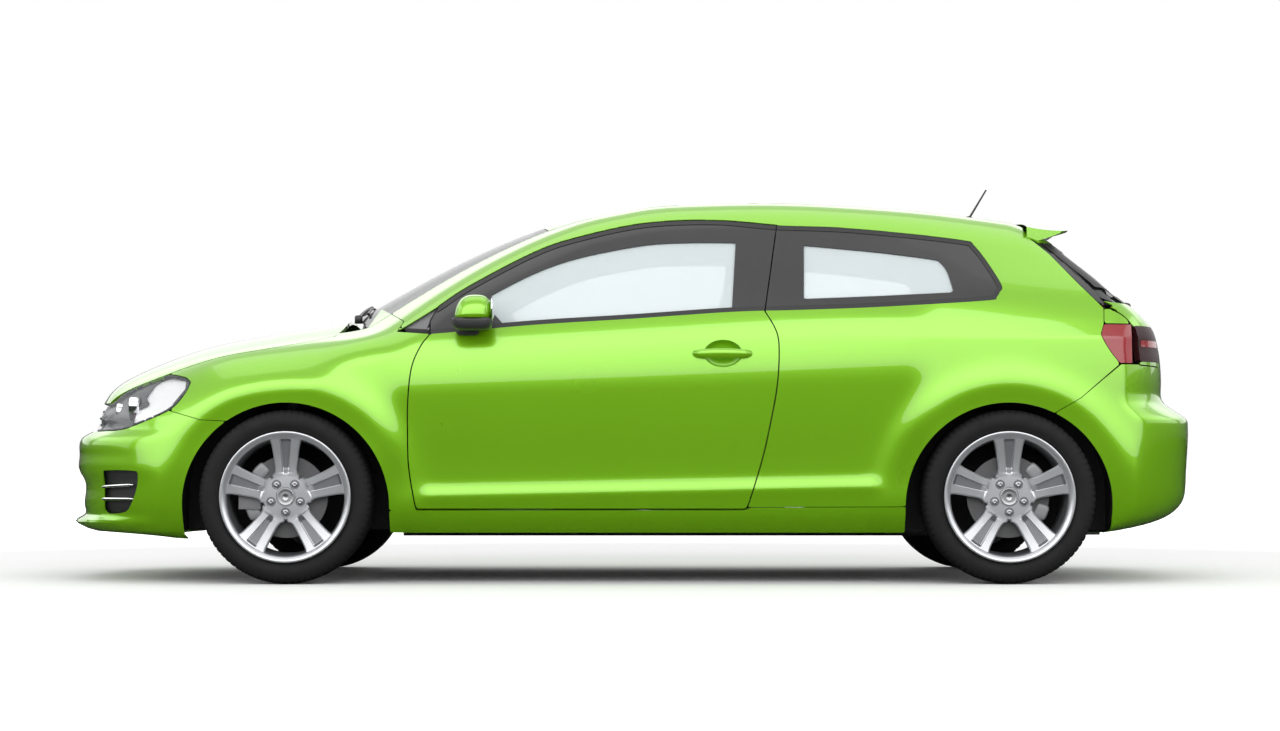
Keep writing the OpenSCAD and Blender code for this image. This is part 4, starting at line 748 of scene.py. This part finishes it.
# Bumpers.
MOUTH = np.array([(-430, 262), (430, 262), (470, 395), (-470, 395)])
GRILLE = np.vstack([curve([(-560, 560), (-566, 600), (-540, 652)], 4),
    curve([(540, 652), (566, 600), (560, 560)], 4)])
NOSE_SIDE = np.vstack([[[-2300, 160], [-1640, 160], [-1480, 594]], FRONT_SEAM[1:],
    [[-1822, 580], [-1906, 560], [-1990, 558], [-2300, 558]]])


def front(p):
    return p[..., 0] < -1700


bumper = drum(92, 268, 176, 664, CELL, [S(NOSE_SIDE, 1, SEAM), S(LAMP, -1, GAP * 0.6), FRONT_ARCH, S(VENT, -1, 0),
    E(MOUTH, -1, 0)])
sheet("front_bumper_skin", bumper, PAINT, "root", 4, "front_bumper")
TAIL_SIDE = np.vstack([[[1537, 160], [2300, 160], [2300, 803], [1785, 803]], REAR_SEAM[::-1][1:]])
rear = drum(-88, 88, 172, 812, CELL, [S(TAIL_SIDE, 1, SEAM), E(TAILGATE, -1, GAP), REAR_ARCH], cx=1400)
sheet("rear_bumper_skin", rear, PAINT, "root", 4, "rear_bumper")

# Tailgate.
BEHIND = [(1470, 1500), (2300, 1500), (2300, 600), (1830, 600), (1812, 790), (1790, 950), (1775, 1008), (1556, 1214),
    (1470, 1290)]
FURTHER_BEHIND = [(1490, 1500), (2300, 1500), (2300, 600), (1850, 600), (1832, 790), (1810, 950), (1795, 1008),
    (1580, 1214), (1490, 1290)]
gate = roll(-800, 800, -18, 84, CELL, [E(TAILGATE, 1, GAP), E(GLASS_CUT, -1, 0), E(TAILGATE_LAMP, -1, 0),
    E(TAILGATE_LAMP * [-1, 1], -1, 0), S(BEHIND)], **FROM_TAIL)
sheet("tailgate_skin", gate, PAINT, "tailgate", 4, "tailgate")
gate_in = roll(-780, 780, -18, 60, CELL * 2, [E(TAILGATE, 1, 26), E(BACKLIGHT, -1, 0), S(FURTHER_BEHIND)], 10,
    **FROM_TAIL)
sheet("tailgate_inner", gate_in, GREY_TRIM, "tailgate", 18)
glass = roll(-700, 700, 10, 64, CELL * 2, [E(BACKLIGHT, 1, -14)], 6, **FROM_TAIL)
sheet("rear_glass", glass, PRIVACY, "tailgate", 4, "rear_window")
border = roll(-700, 700, 10, 64, CELL, [E(BACKLIGHT, 1, 0), E(BACKLIGHT, -1, -BORDER_W)], 3, **FROM_TAIL)
sheet("rear_glass_band", border, SEAL, "tailgate", 2)


# ---------------------------------------------------------------- lamps, grilles and small parts

OUTSIDE_BONNET = np.vstack([BONNET_SIDE, [[-1105, 1000], [-2300, 1000], [-2300, 430]]]) * [1, -1]
LEFT_LAMP = [S(LAMP, 1, GAP * 0.6), P(OUTSIDE_BONNET, 1, GAP)]
WHITE = np.array([(-1838, 580), (-1822, 634), (-1775, 655), (-1792, 681), (-1765, 730), (-1715, 756), (-1640, 742),
    (-1640, 712), (-1690, 648), (-1745, 610)])
AMBER = np.array([(-1858, 633), (-1824, 634), (-1836, 588), (-1848, 598)])
for part, mat, x0, x1, cell, cuts, sink, thick, keep in (
        ("lens", LENS, -2100, -1600, 7, [], 0, 3, None),
        ("rim", SEAL, -2100, -1600, 7, [S(LAMP, -1, -7)], 2, 40, None),
        ("housing", SMOKE, -2100, -1600, 9, [], 34, 8, None),
        ("shade", SHADE, -2100, -1600, 9, [S(WHITE, -1, 0), S(AMBER, -1, 0)], 10, 3, lambda p: p[..., 0] > -1975),
        ("bowl", REFLECTOR, -1900, -1600, 9, [S(WHITE, 1, 0)], 16, 3, None),
        ("marker", DARK_RED, -1900, -1750, 6, [S(AMBER, 1, 0)], 14, 3, None)):
    skin = ring(x0, x1, 2, 60, cell, LEFT_LAMP + cuts, sink, 300, keep)
    twin(f"headlamp_{part}_{{}}", skin, mat, "root", ["headlamps"] if part == "lens" else None, thick)
for k, (x, y, z, r) in enumerate([(-1905, -632, 628, 36), (-1846, -716, 650, 34)]):
    profile = [(r, 0), (r - 2, -5), (r - 6, -4), (r * 0.72, 16), (r * 0.5, 18), (r * 0.45, 30), (r, 34)]
    v, f = revolve(profile, 48, axis="x")
    twin(f"headlamp_ring_{k}_{{}}", (v + [x, y, z], f), CHROME, "root")
    v, f = revolve([(0.1, 0), (r * 0.3, 1), (r * 0.52, 6), (r * 0.66, 16), (r * 0.66, 22), (0.1, 24)], 48, axis="x")
    twin(f"headlamp_eye_{k}_{{}}", (v + [x, y, z], f), LENS, "root")


def along(kind, c, u, v, sink, r):
    """Bar lying along the body surface through the rays u, v."""
    p = hit(kind, c, np.asarray(u, float), np.asarray(v, float), sink)
    vv, f = tube(p, r, 10)
    return vv, f


BEHIND_LAMP = np.vstack([TAIL_LAMP, [[1990, 806], [1990, 950]]])
lens = ring(1700, 1900, -4, 32, 7, [S(BEHIND_LAMP, 1, GAP * 0.6)], 0, 700,
    keep=lambda p: (p[..., 1] < -789) & (p[..., 0] < 1830))
twin("tail_lamp_{}", lens, RED, "root", ["tail_lamps"], 24)
for side, sign in LEFT_RIGHT:
    lamp_part = drum(-75, -32, 795, 960, 7, [E(TAILGATE_LAMP, 1, GAP * 0.5)], 0, 1400)
    lamp_part = lamp_part if sign > 0 else flip_y(lamp_part)
    sheet(f"tailgate_lamp_{side}", lamp_part, DARK_RED, "tailgate", 24, ["tailgate_lamps"])
    bar = drum(-72, -34, 868, 892, 5, [E(TAILGATE_LAMP, 1, 14)], -1.2, 1400)
    bar = bar if sign > 0 else flip_y(bar)
    sheet(f"tailgate_lamp_bar_{side}", bar, RED, "tailgate", 2)

CX = -1300 + SHIFT
NOSE_A = np.radians(np.linspace(159, 201, 60))
grille_back = drum(140, 220, 545, 668, 8, [E(GRILLE, 1, 0)], 16, keep=front)
mouth_back = drum(150, 210, 245, 410, 8, [E(MOUTH, 1, -4)], 22, keep=front)
vent_back = ring(-2010, -1780, -40, 20, 8, [S(VENT, 1, -3)], 16, 300)
vent_right = flip_y(vent_back)
sheet("grille_mesh", merge(grille_back, mouth_back, vent_back, vent_right), DARK, "root", 4, "grilles")
slats = [along("drum", CX, NOSE_A, np.full(60, z), 13, 5.0) for z in (583, 608, 633)]
make("grille_slats", *merge(*slats), CHROME, "root")
mouth_bars = []
for k, z in enumerate((372, 345, 318, 291)):
    turn = np.radians(np.linspace(168 + k * 0.8, 192 - k * 0.8, 40))
    mouth_bars.append(along("drum", CX, turn, np.full(40, z), 14, 4.5))
make("mouth_bars", *merge(*mouth_bars), DARK, "root")
vent_x = np.linspace(-1962, -1826, 24) + SHIFT
vent_r = np.interp(vent_x, [-1960, -1945, -1840, -1823], [2, 6.5, 6, 1.5])
vent_bars = [along("ring", 300, vent_x, np.full(24, math.atan2(z - 300, 745)), 2, vent_r) for z in (357, 309)]
twin("vent_bars_{}", merge(*vent_bars), CHROME, "root")

# Spoiler: sections at each width run from the roof's edge over the top to the tip and back underneath.
turns = 49
yy = np.linspace(-SPOILER_HALF, SPOILER_HALF, 121)[:, None]
tip = 1655 - 22 * (yy / SPOILER_HALF) ** 2 - 34 * np.abs(yy / SPOILER_HALF) ** 12
t = np.concatenate([np.linspace(0, 1, 25), np.linspace(1, 0, 25)[1:]])[None]
below = (np.arange(turns) > 24)[None]
xx = SPOILER_X + (tip - SPOILER_X) * t
crown = top_reach(np.full_like(yy, float(SPOILER_X)), yy) + 1 - 6 * np.abs(yy / SPOILER_HALF) ** 10
top_z = crown + (SPOILER_Z - 26 * (yy / SPOILER_HALF) ** 2 - crown) * t - 3 * np.sin(np.pi * t)
low_z = SPOILER_Z - 26 * (yy / SPOILER_HALF) ** 2 - 4 - 44 * (1 - t) ** 0.8
wing = np.stack([xx + SHIFT, yy + 0 * xx, np.where(below, low_z, top_z)], -1)
caps = np.stack([np.arange(24), np.arange(1, 25), 47 - np.arange(24), 48 - np.arange(24)], -1)
caps[:, 2:] = np.minimum(caps[:, 2:], turns - 1)
faces = np.vstack([grid_faces(121, turns)[:, ::-1], caps[:, ::-1], caps + 120 * turns])
o = make("spoiler_wing", wing.reshape(-1, 3), faces, PAINT, "tailgate", "spoiler")
o.modifiers.new("crisp", "EDGE_SPLIT").split_angle = math.radians(40)

# Mirrors and handles.
dome = box((-640, -1006, 870), (-503, -850, 1052), 0.72)
dome[0][:, 2] = np.maximum(dome[0][:, 2], MIRROR_SPLIT)
dome[0][:, 0] += (dome[0][:, 2] - MIRROR_SPLIT) * 0.12 - 4
twin("mirror_cap_{}", dome, PAINT, "door_{}", ["mirror_{}"])
base = box((-650, -1000, 922), (-504, -850, 1012), 0.45)
base[0][:, 2] = np.minimum(base[0][:, 2], MIRROR_SPLIT - 0.5)
foot = box((-640, -890, 905), (-556, -838, 945), 0.5)
twin("mirror_base_{}", merge(base, foot), DARK, "door_{}")
face = box((-512, -994, 960), (-499, -864, 1040), 0.7)
twin("mirror_glass_{}", face, CHROME, "door_{}")
hx = np.linspace(228, 425, 30)
grip = hit("ring", 600, hx + SHIFT, np.arctan2(np.full(30, HANDLE_Z - 2.0) - 600, np.full(30, 880.0)), -19)
grip[:, 2] = HANDLE_Z - 2 + 3 * np.cos((hx - 326) / 98 * 1.5)
grip[:, 1] += 22 * (np.abs(hx - 326.5) / 98.5) ** 8
bulk = 17.5 - 4.5 * (np.abs(hx - 326.5) / 98.5) ** 3
gv, gf = tube(grip, bulk, 20)
middle = np.repeat(grip[:, 1], 20)
gv = np.asarray(gv)
gv[:, 1] = middle + (gv[:, 1] - middle) * 0.55
twin("handle_grip_{}", (gv, gf), PAINT, "door_{}", ["door_handle_{}"])

mast_at = hit("roll", (550 + SHIFT, 500), np.array([0.0]), np.array([math.atan2(880, 760)]))[0]
lean = np.array([math.sin(math.radians(31)), 0, math.cos(math.radians(31))])
foot_x, foot_t = np.meshgrid(np.linspace(0, 2 * np.pi, 33)[:-1], np.linspace(0, 1, 9), indexing="ij")
fin = np.stack([mast_at[0] - 6 + 34 * np.cos(foot_x) * (1 - foot_t**2) + 14 * foot_t,
    13 * np.sin(foot_x) * (1 - foot_t**2),
    mast_at[2] - 4 + 30 * foot_t**0.7 - 4 * np.cos(foot_x) * (1 - foot_t)], -1)
mast = mast_at + [8, 0, 18] + np.linspace(0, 1, 12)[:, None] * lean * 128
rod = tube(mast, np.linspace(4.4, 3.2, 12), 12)
make("aerial", *merge((fin.reshape(-1, 3), grid_faces(32, 9, True)), rod), DARK, "root", "antenna")


def on_skin(points, lift):
    """Points above the bonnet, screen or roof over a line drawn in plan."""
    p = np.array(points, float)
    return np.stack([p[:, 0] + SHIFT, p[:, 1], top_line(p)[:, 1] + lift], -1)


def wiper(foot, elbow, tip):
    """Wiper at rest: a spindle, an arm and a blade along the foot of the screen."""
    arm_path = on_skin(curve([foot, ((foot[0] + elbow[0]) / 2 - 6, (foot[1] + elbow[1]) / 2), elbow]), 16)
    start = (elbow[0] + 6, elbow[1] - 250 * np.sign(tip[1] - elbow[1]))
    blade = on_skin(np.stack([np.linspace(start[0], tip[0], 20), np.linspace(start[1], tip[1], 20)], -1), 9)
    spindle = revolve([(15, -18), (15, 8), (11, 13), (0.1, 14), (0.1, -18)], 24, axis="z")
    arm = tube(arm_path, np.linspace(8, 5, len(arm_path)), 10)
    return merge(arm, tube(blade, 5.5, 8), (spindle[0] + arm_path[0], spindle[1]))


WIPERS = [wiper((-1036, -430), (-1010, -120), (-1012, 110)), wiper((-1052, 90), (-1022, 400), (-975, 560))]
make("wipers", *merge(*WIPERS), DARK, "root", "windscreen_wipers")


def rear_arm():
    """Rear wiper: a spindle that stands out of the tailgate's middle, and an arm along the foot of the glass."""
    y = np.linspace(0, 320, 24)
    path = hit("drum", 1400 + SHIFT, np.arctan2(y, 500), 1050 + y * 0.05, -np.linspace(30, 10, 24))
    spindle = revolve([(0.1, -40), (14, -38), (15, 14), (12, 28), (7, 33), (0.1, 34)], 24, axis="x")
    return merge(tube(path, np.linspace(8, 4.5, len(y)), 10), (spindle[0] + path[0], spindle[1]))


make("rear_wiper_arm", *rear_arm(), DARK, "tailgate", "rear_wiper")

# ---------------------------------------------------------------- wheels

SPOKES = 5


def spoke():
    """One spoke pointing up: the parameters run outwards and across; the face rises to the rim, and a groove that
    fades at both ends is let into it."""
    r = np.linspace(70, 222, 60)[:, None]
    at_rim = 16 * np.exp(-(218 - np.minimum(r, 218)) / 9)
    half = 34 + 20 * (r - 80) / 130 + at_rim + 14 * np.exp(-(np.maximum(r, 80) - 80) / 10)
    groove = 8 + 11.5 * (r - 80) / 130
    deep = 11 * ramp((r - 82) / 26) * ramp((212 - r) / 9)
    height = 85 + 15 * ((r - 70) / 150) ** 1.6
    t = [-half, -half, -half + 5, -groove - 2.5, -groove, 0 * r, groove, groove + 2.5, half - 5, half, half]
    h = [height - 40, height - 5, height, height, height - deep, height - deep - 1, height - deep, height, height,
        height - 5, height - 40]
    t, h = np.concatenate(t, 1), np.concatenate(h, 1)
    v = np.stack([t, -h, r + 0 * t], -1)
    # A dark strip laid on each groove's floor: painted shade in the groove.
    t2 = np.linspace(-1, 1, 5)[None] * (groove[6:-4] - 1.5)
    h2 = (height - deep + 0.35)[6:-4] + 0 * t2
    g = np.stack([t2, -h2, r[6:-4] + 0 * t2], -1)
    return (v.reshape(-1, 3), grid_faces(60, 11)), (g.reshape(-1, 3), grid_faces(50, 5))


def turned(part, degrees):
    v, f = part
    c, s = math.cos(math.radians(degrees)), math.sin(math.radians(degrees))
    x, y, z = np.asarray(v, float).T
    return np.stack([c * x + s * z, y, -s * x + c * z], -1), f


def out(profile):
    """Profile of (radius, outwards) as (radius, y) for the left side."""
    p = np.array(profile, float)
    return np.stack([p[:, 0], -p[:, 1]], -1)[::-1]


arm, slot = spoke()
lip = revolve(out([(239.5, 100), (240, 108), (238.5, 113), (235, 114), (229, 112.5), (222, 108), (217, 102),
    (214.5, 94), (214, 84), (222, 84), (231, 92)]), 180)
barrel = revolve(out([(215, 90), (211, 60), (206, 0), (207, -80), (222, -103), (236, -108), (240, -104), (236, -100),
    (226, -94), (221, -60), (222, 60), (226, 88)]), 144)
hub = revolve(out([(84, 45), (84, 80), (80, 85), (52, 85.5), (36, 85.5), (34, 83), (33, 83), (0.1, 83), (0.1, 45)]),
    96)
cap = revolve(out([(31, 80), (31, 87.5), (29.5, 88.6), (28, 87.8), (15, 88.6), (0.1, 88.9), (0.1, 80)]), 64)
bolt = revolve(out([(11.5, 70), (11.5, 88), (9.5, 91), (0.1, 92), (0.1, 70)]), 24)
# Flat dark ring round each bolt on the hub face: painted shade of a bolt hole's recess.
bolt_shade_ring = revolve(out([(17.5, 84.9), (17.5, 86.0), (16, 86.5), (12.5, 85.8), (12.5, 84.9)]), 36)
at_bolt = lambda p: (p[0] + [0, 0, 56], p[1])
SILVER_PART = merge(lip, hub, *[turned(arm, k * 72) for k in range(SPOKES)])
PAINTED_SHADE_PART = merge(*[turned(slot, k * 72) for k in range(SPOKES)],
    *[turned(at_bolt(bolt_shade_ring), k * 72 + 36) for k in range(SPOKES)])
BOLTS = merge(cap, *[turned(at_bolt(bolt), k * 72 + 36) for k in range(SPOKES)])


def tyre():
    """Turned section with four grooves round it, and shallow cuts across the shoulders that repeat round it."""
    side = np.array([(232, 95), (243, 99), (256, 107), (270, 110.5), (286, 109), (299, 104), (308, 97), (314, 88)],
        float)
    a = np.linspace(80, -80, 81)
    crown = 318 - 2.5 * (a / 80) ** 2
    for centre in (-58, -20, 20, 58):
        crown = crown - 7 * np.clip(1.35 - np.abs(a - centre) / 4.5, 0, 1)
    mid = np.stack([crown, a], -1)
    other = side[::-1] * [1, -1]
    p = np.vstack([side, mid, other, [(226, -90), (226, 90)]])
    n = 720
    ang = np.arange(n) / n * 2 * np.pi
    wave = np.arange(n) % 9
    r = np.broadcast_to(p[:, 0], (n, len(p))).copy()
    shoulder = (np.abs(p[:, 1]) > 62) & (p[:, 0] > 305)
    inner = (np.abs(p[:, 1]) < 56) & (p[:, 0] > 312)
    r[np.ix_(wave < 2, shoulder)] -= 3.0
    r[np.ix_(wave == 5, inner)] -= 2.0
    v = np.stack([r * np.cos(ang)[:, None], np.broadcast_to(-p[:, 1], r.shape), r * np.sin(ang)[:, None]], -1)
    return v.reshape(-1, 3), grid_faces(n, len(p), True, True)


def caliper(back):
    """Two rounded blocks over the disc's edge, on the nose side of a front wheel and behind a rear one."""
    parts = []
    for lift in (-34, 34):
        v, f = box((-26, -52, -30), (26, -12, 30), 0.5)
        a = math.radians(170 + lift if back < 0 else 10 + lift)
        c, s = math.cos(a), math.sin(a)
        x, y, z = v.T
        x = x + 132
        parts.append((np.stack([c * x - s * z, y + HALF_TRACK - 765, s * x + c * z], -1), f))
    return parts


def liner(axle, inner, radius):
    """Arched shell from the wall inside the wheel to the arch's lip: a half circle on two uprights, with the wall."""
    a = np.radians(np.linspace(0, 180, 61))
    line = np.stack([np.cos(a) * radius, np.sin(a) * radius + HUB_Z], -1)
    line = np.vstack([[[radius, 190]], line, [[-radius, 190]]])
    lip = np.vstack([[[ARCH_R + 3, 190]], circle(0, ARCH_Z, ARCH_R + 3, 120)[:61], [[-ARCH_R - 3, 190]]])
    px = np.broadcast_to(lip[:, 0] + axle + SHIFT, (1, 63))
    edge = hit("flat", 0, px, np.broadcast_to(lip[:, 1], (1, 63)), 6)[0]
    rows = [np.stack([line[:, 0] + axle + SHIFT, np.full(63, y), line[:, 1]], -1) for y in (-inner, -700.0)]
    tuck = edge.copy()
    tuck[:, 1] += 22
    v = np.stack([*rows, tuck, edge], 0)
    low_x = rows[0][:, 0] * 0.25 + (axle + SHIFT) * 0.75
    wall = np.stack([rows[0], np.column_stack([low_x, rows[0][:, 1], np.full(63, 190.0)])], 0)
    return merge((v.reshape(-1, 3), grid_faces(4, 63)), (wall.reshape(-1, 3), grid_faces(2, 63)[:, ::-1]))


LINERS = [liner(FRONT_AXLE, 472.0, 404.0), liner(REAR_AXLE, 568.0, 391.0)]
make("arch_shells", *merge(*LINERS, *[flip_y(part) for part in LINERS]), CAVITY, "root", "wheel_arch_liners")

TYRE_PART = tyre()
for end, axle in (("front", FRONT_AXLE), ("rear", REAR_AXLE)):
    here = np.array([axle + SHIFT, -HALF_TRACK, HUB_Z])
    put = lambda part: (part[0] + here, part[1])
    body, tag = f"wheel_{end}_{{}}", f"{end}_{{}}"
    twin("tread_" + tag, put(TYRE_PART), RUBBER, body, [f"tyre_{end}_{{}}"])
    twin("rim_" + tag, put(SILVER_PART), SILVER, body, [f"wheel_{end}_{{}}"])
    twin("barrel_" + tag, put(barrel), WHEEL_SHADE, body)
    twin("groove_" + tag, put(PAINTED_SHADE_PART), WHEEL_SHADE, body)
    twin("bolts_" + tag, put(BOLTS), STEEL, body)
    carrier = "knuckle_{}" if end == "front" else "root"
    back = 1 if end == "rear" else -1
    twin("caliper_" + tag, merge(*[put(part) for part in caliper(back)]), CALIPER, carrier)
for o in bpy.data.objects:
    if o.name.startswith(("rim_", "barrel_")):
        o.modifiers.new("crisp", "EDGE_SPLIT").split_angle = math.radians(32)

# ---------------------------------------------------------------- cabin


def pillow(name, lo, hi, soft, lean=0.0, body="root", mat=CLOTH, node=None):
    """Cushion: a superellipsoid with a lean rearwards."""
    v, f = box(lo, hi, soft)
    lo, hi = np.array(lo, float), np.array(hi, float)
    v[:, 0] += (v[:, 2] - lo[2]) * lean
    o = make(name, v, f, mat, body, node)
    w = o.modifiers.new("weld", "WELD")
    w.merge_threshold = 0.0005
    return o


for side, y in (("left", -SEAT_Y), ("right", SEAT_Y)):
    pillow(f"seat_base_{side}", (-345, y - 245, 330), (150, y + 245, 450), 0.45,
        node=["front_seats"] if side == "left" else None)
    pillow(f"seat_back_{side}", (105, y - 235, 400), (235, y + 235, 970), 0.42, 0.36)
    pillow(f"seat_head_{side}", (340, y - 125, 975), (430, y + 125, 1120), 0.5, 0.1)
pillow("bench_base", (650, -560, 470), (1120, 560, 590), 0.4, node=["rear_bench"])
pillow("bench_back", (1085, -545, 540), (1190, 545, 1000), 0.35, 0.26)
for side, y in (("left", -SEAT_Y), ("right", SEAT_Y)):
    make(f"seat_foot_{side}", *box((-300, y - 180, 241), (120, y + 180, 345)), DARK, "root")

FINISH = {
    "floor_pan": CAVITY, "bulkhead": CAVITY, "cowl_panel": DARK, "dashboard": GREY_TRIM, "engine": CAST,
    "front_frame": CAVITY, "rear_axle": CAVITY, "exhaust": STEEL, "steering_wheel": DARK, "knuckle_left": CAST,
    "knuckle_right": CAST}
for n, o in frame["nodes"].items():
    finish = FINISH.get(n, DISC if n.startswith("brake_disc") else None)
    if finish:
        o.data.materials.clear()
        o.data.materials.append(finish)

# ---------------------------------------------------------------- stage, light and camera


def ground():
    m, shader, at = material("pale_floor_dark_in_reflection", (0.86, 0.86, 0.86), 0.9)
    tree = m.node_tree
    path = tree.nodes.new("ShaderNodeLightPath")
    glossy = Wire(tree, path.outputs["Is Glossy Ray"])
    # Near black to glossy rays only: a painted dark reflection of the floor on the car's lower body, while the floor
    # looks pale to the camera and to diffuse light.
    glossy.blend((0.86, 0.86, 0.86), (0.035, 0.04, 0.035)).into(shader, "Base Color")
    shader.inputs["Specular IOR Level"].default_value = 0.0
    x, y = at.part(0), at.part(1)
    far = ((x * x + y * y).math("SQRT", None) - 4.0).math("MINIMUM", 3.0) / 3.0
    seen = Wire(tree, path.outputs["Is Camera Ray"]) * far.math("MAXIMUM", 0.0)
    shader.inputs["Emission Strength"].default_value = 1.0
    seen.blend((0, 0, 0), (1, 1, 1)).into(shader, "Emission Color")
    o = make("floor", [(-60000, -60000, 0), (60000, -60000, 0), (60000, 60000, 0), (-60000, 60000, 0)],
        [(0, 1, 2, 3)], m, None)


def surroundings():
    world = bpy.data.worlds.new("studio")
    bpy.context.scene.world = world
    world.use_nodes = True
    tree = world.node_tree
    back = tree.nodes["Background"]
    path = tree.nodes.new("ShaderNodeLightPath")
    seen = Wire(tree, path.outputs["Is Camera Ray"])
    mirror = Wire(tree, path.outputs["Is Glossy Ray"])
    through = Wire(tree, path.outputs["Is Transmission Ray"])
    place = tree.nodes.new("ShaderNodeTexCoord")
    height = Wire(tree, place.outputs["Generated"]).part(2)
    sky = ((height - 0.28) / 0.15).math("MAXIMUM", 0.0).math("MINIMUM", 1.0) * 0.95 + 0.10
    white = (seen + through).math("MINIMUM", 1.0)
    plain_light = mirror * (sky - 0.42) + 0.42
    strength = white * (plain_light * -1.0 + 1.0) + plain_light
    back.inputs[0].default_value = (1, 1, 1, 1)
    strength.into(back, "Strength")


def lamp(name, at, to, size, power):
    data = bpy.data.lights.new(name, "AREA")
    data.shape = "RECTANGLE"
    data.size, data.size_y = size
    data.energy = power
    o = bpy.data.objects.new(name, data)
    bpy.context.collection.objects.link(o)
    o.location = at
    o.rotation_euler = (Vector(to) - Vector(at)).to_track_quat("-Z", "Y").to_euler()
    o.visible_camera = False
    return o


ground()
surroundings()
lamp("wide_left", (0, -9.0, 5.3), (0, 0, 5.3), (30, 8.0), 1900)
lamp("wide_right", (0, 10.0, 5.6), (0, 0, 5.6), (30, 8.0), 800)
lamp("over", (0, 0, 9.0), (0, 0, 0), (12, 7), 260)
lamp("front_fill", (-11, 0, 4.6), (0, 0, 3.0), (10, 6), 260)
lamp("rear_fill", (11, 0, 4.6), (0, 0, 3.0), (10, 6), 260)

cam = bpy.data.cameras.new("camera")
cam.lens = 90.5
cam.sensor_width = 36
eye = bpy.data.objects.new("camera", cam)
bpy.context.collection.objects.link(eye)
# Twelve and a half metres to the left at half a metre's height, tipped up so that the car sits a little low.
eye.location = (0.0295, -12.58, 0.50)
eye.rotation_euler = (math.radians(90 + 1.45), 0, 0)
bpy.context.scene.camera = eye
bpy.context.scene.view_settings.view_transform = "Standard"
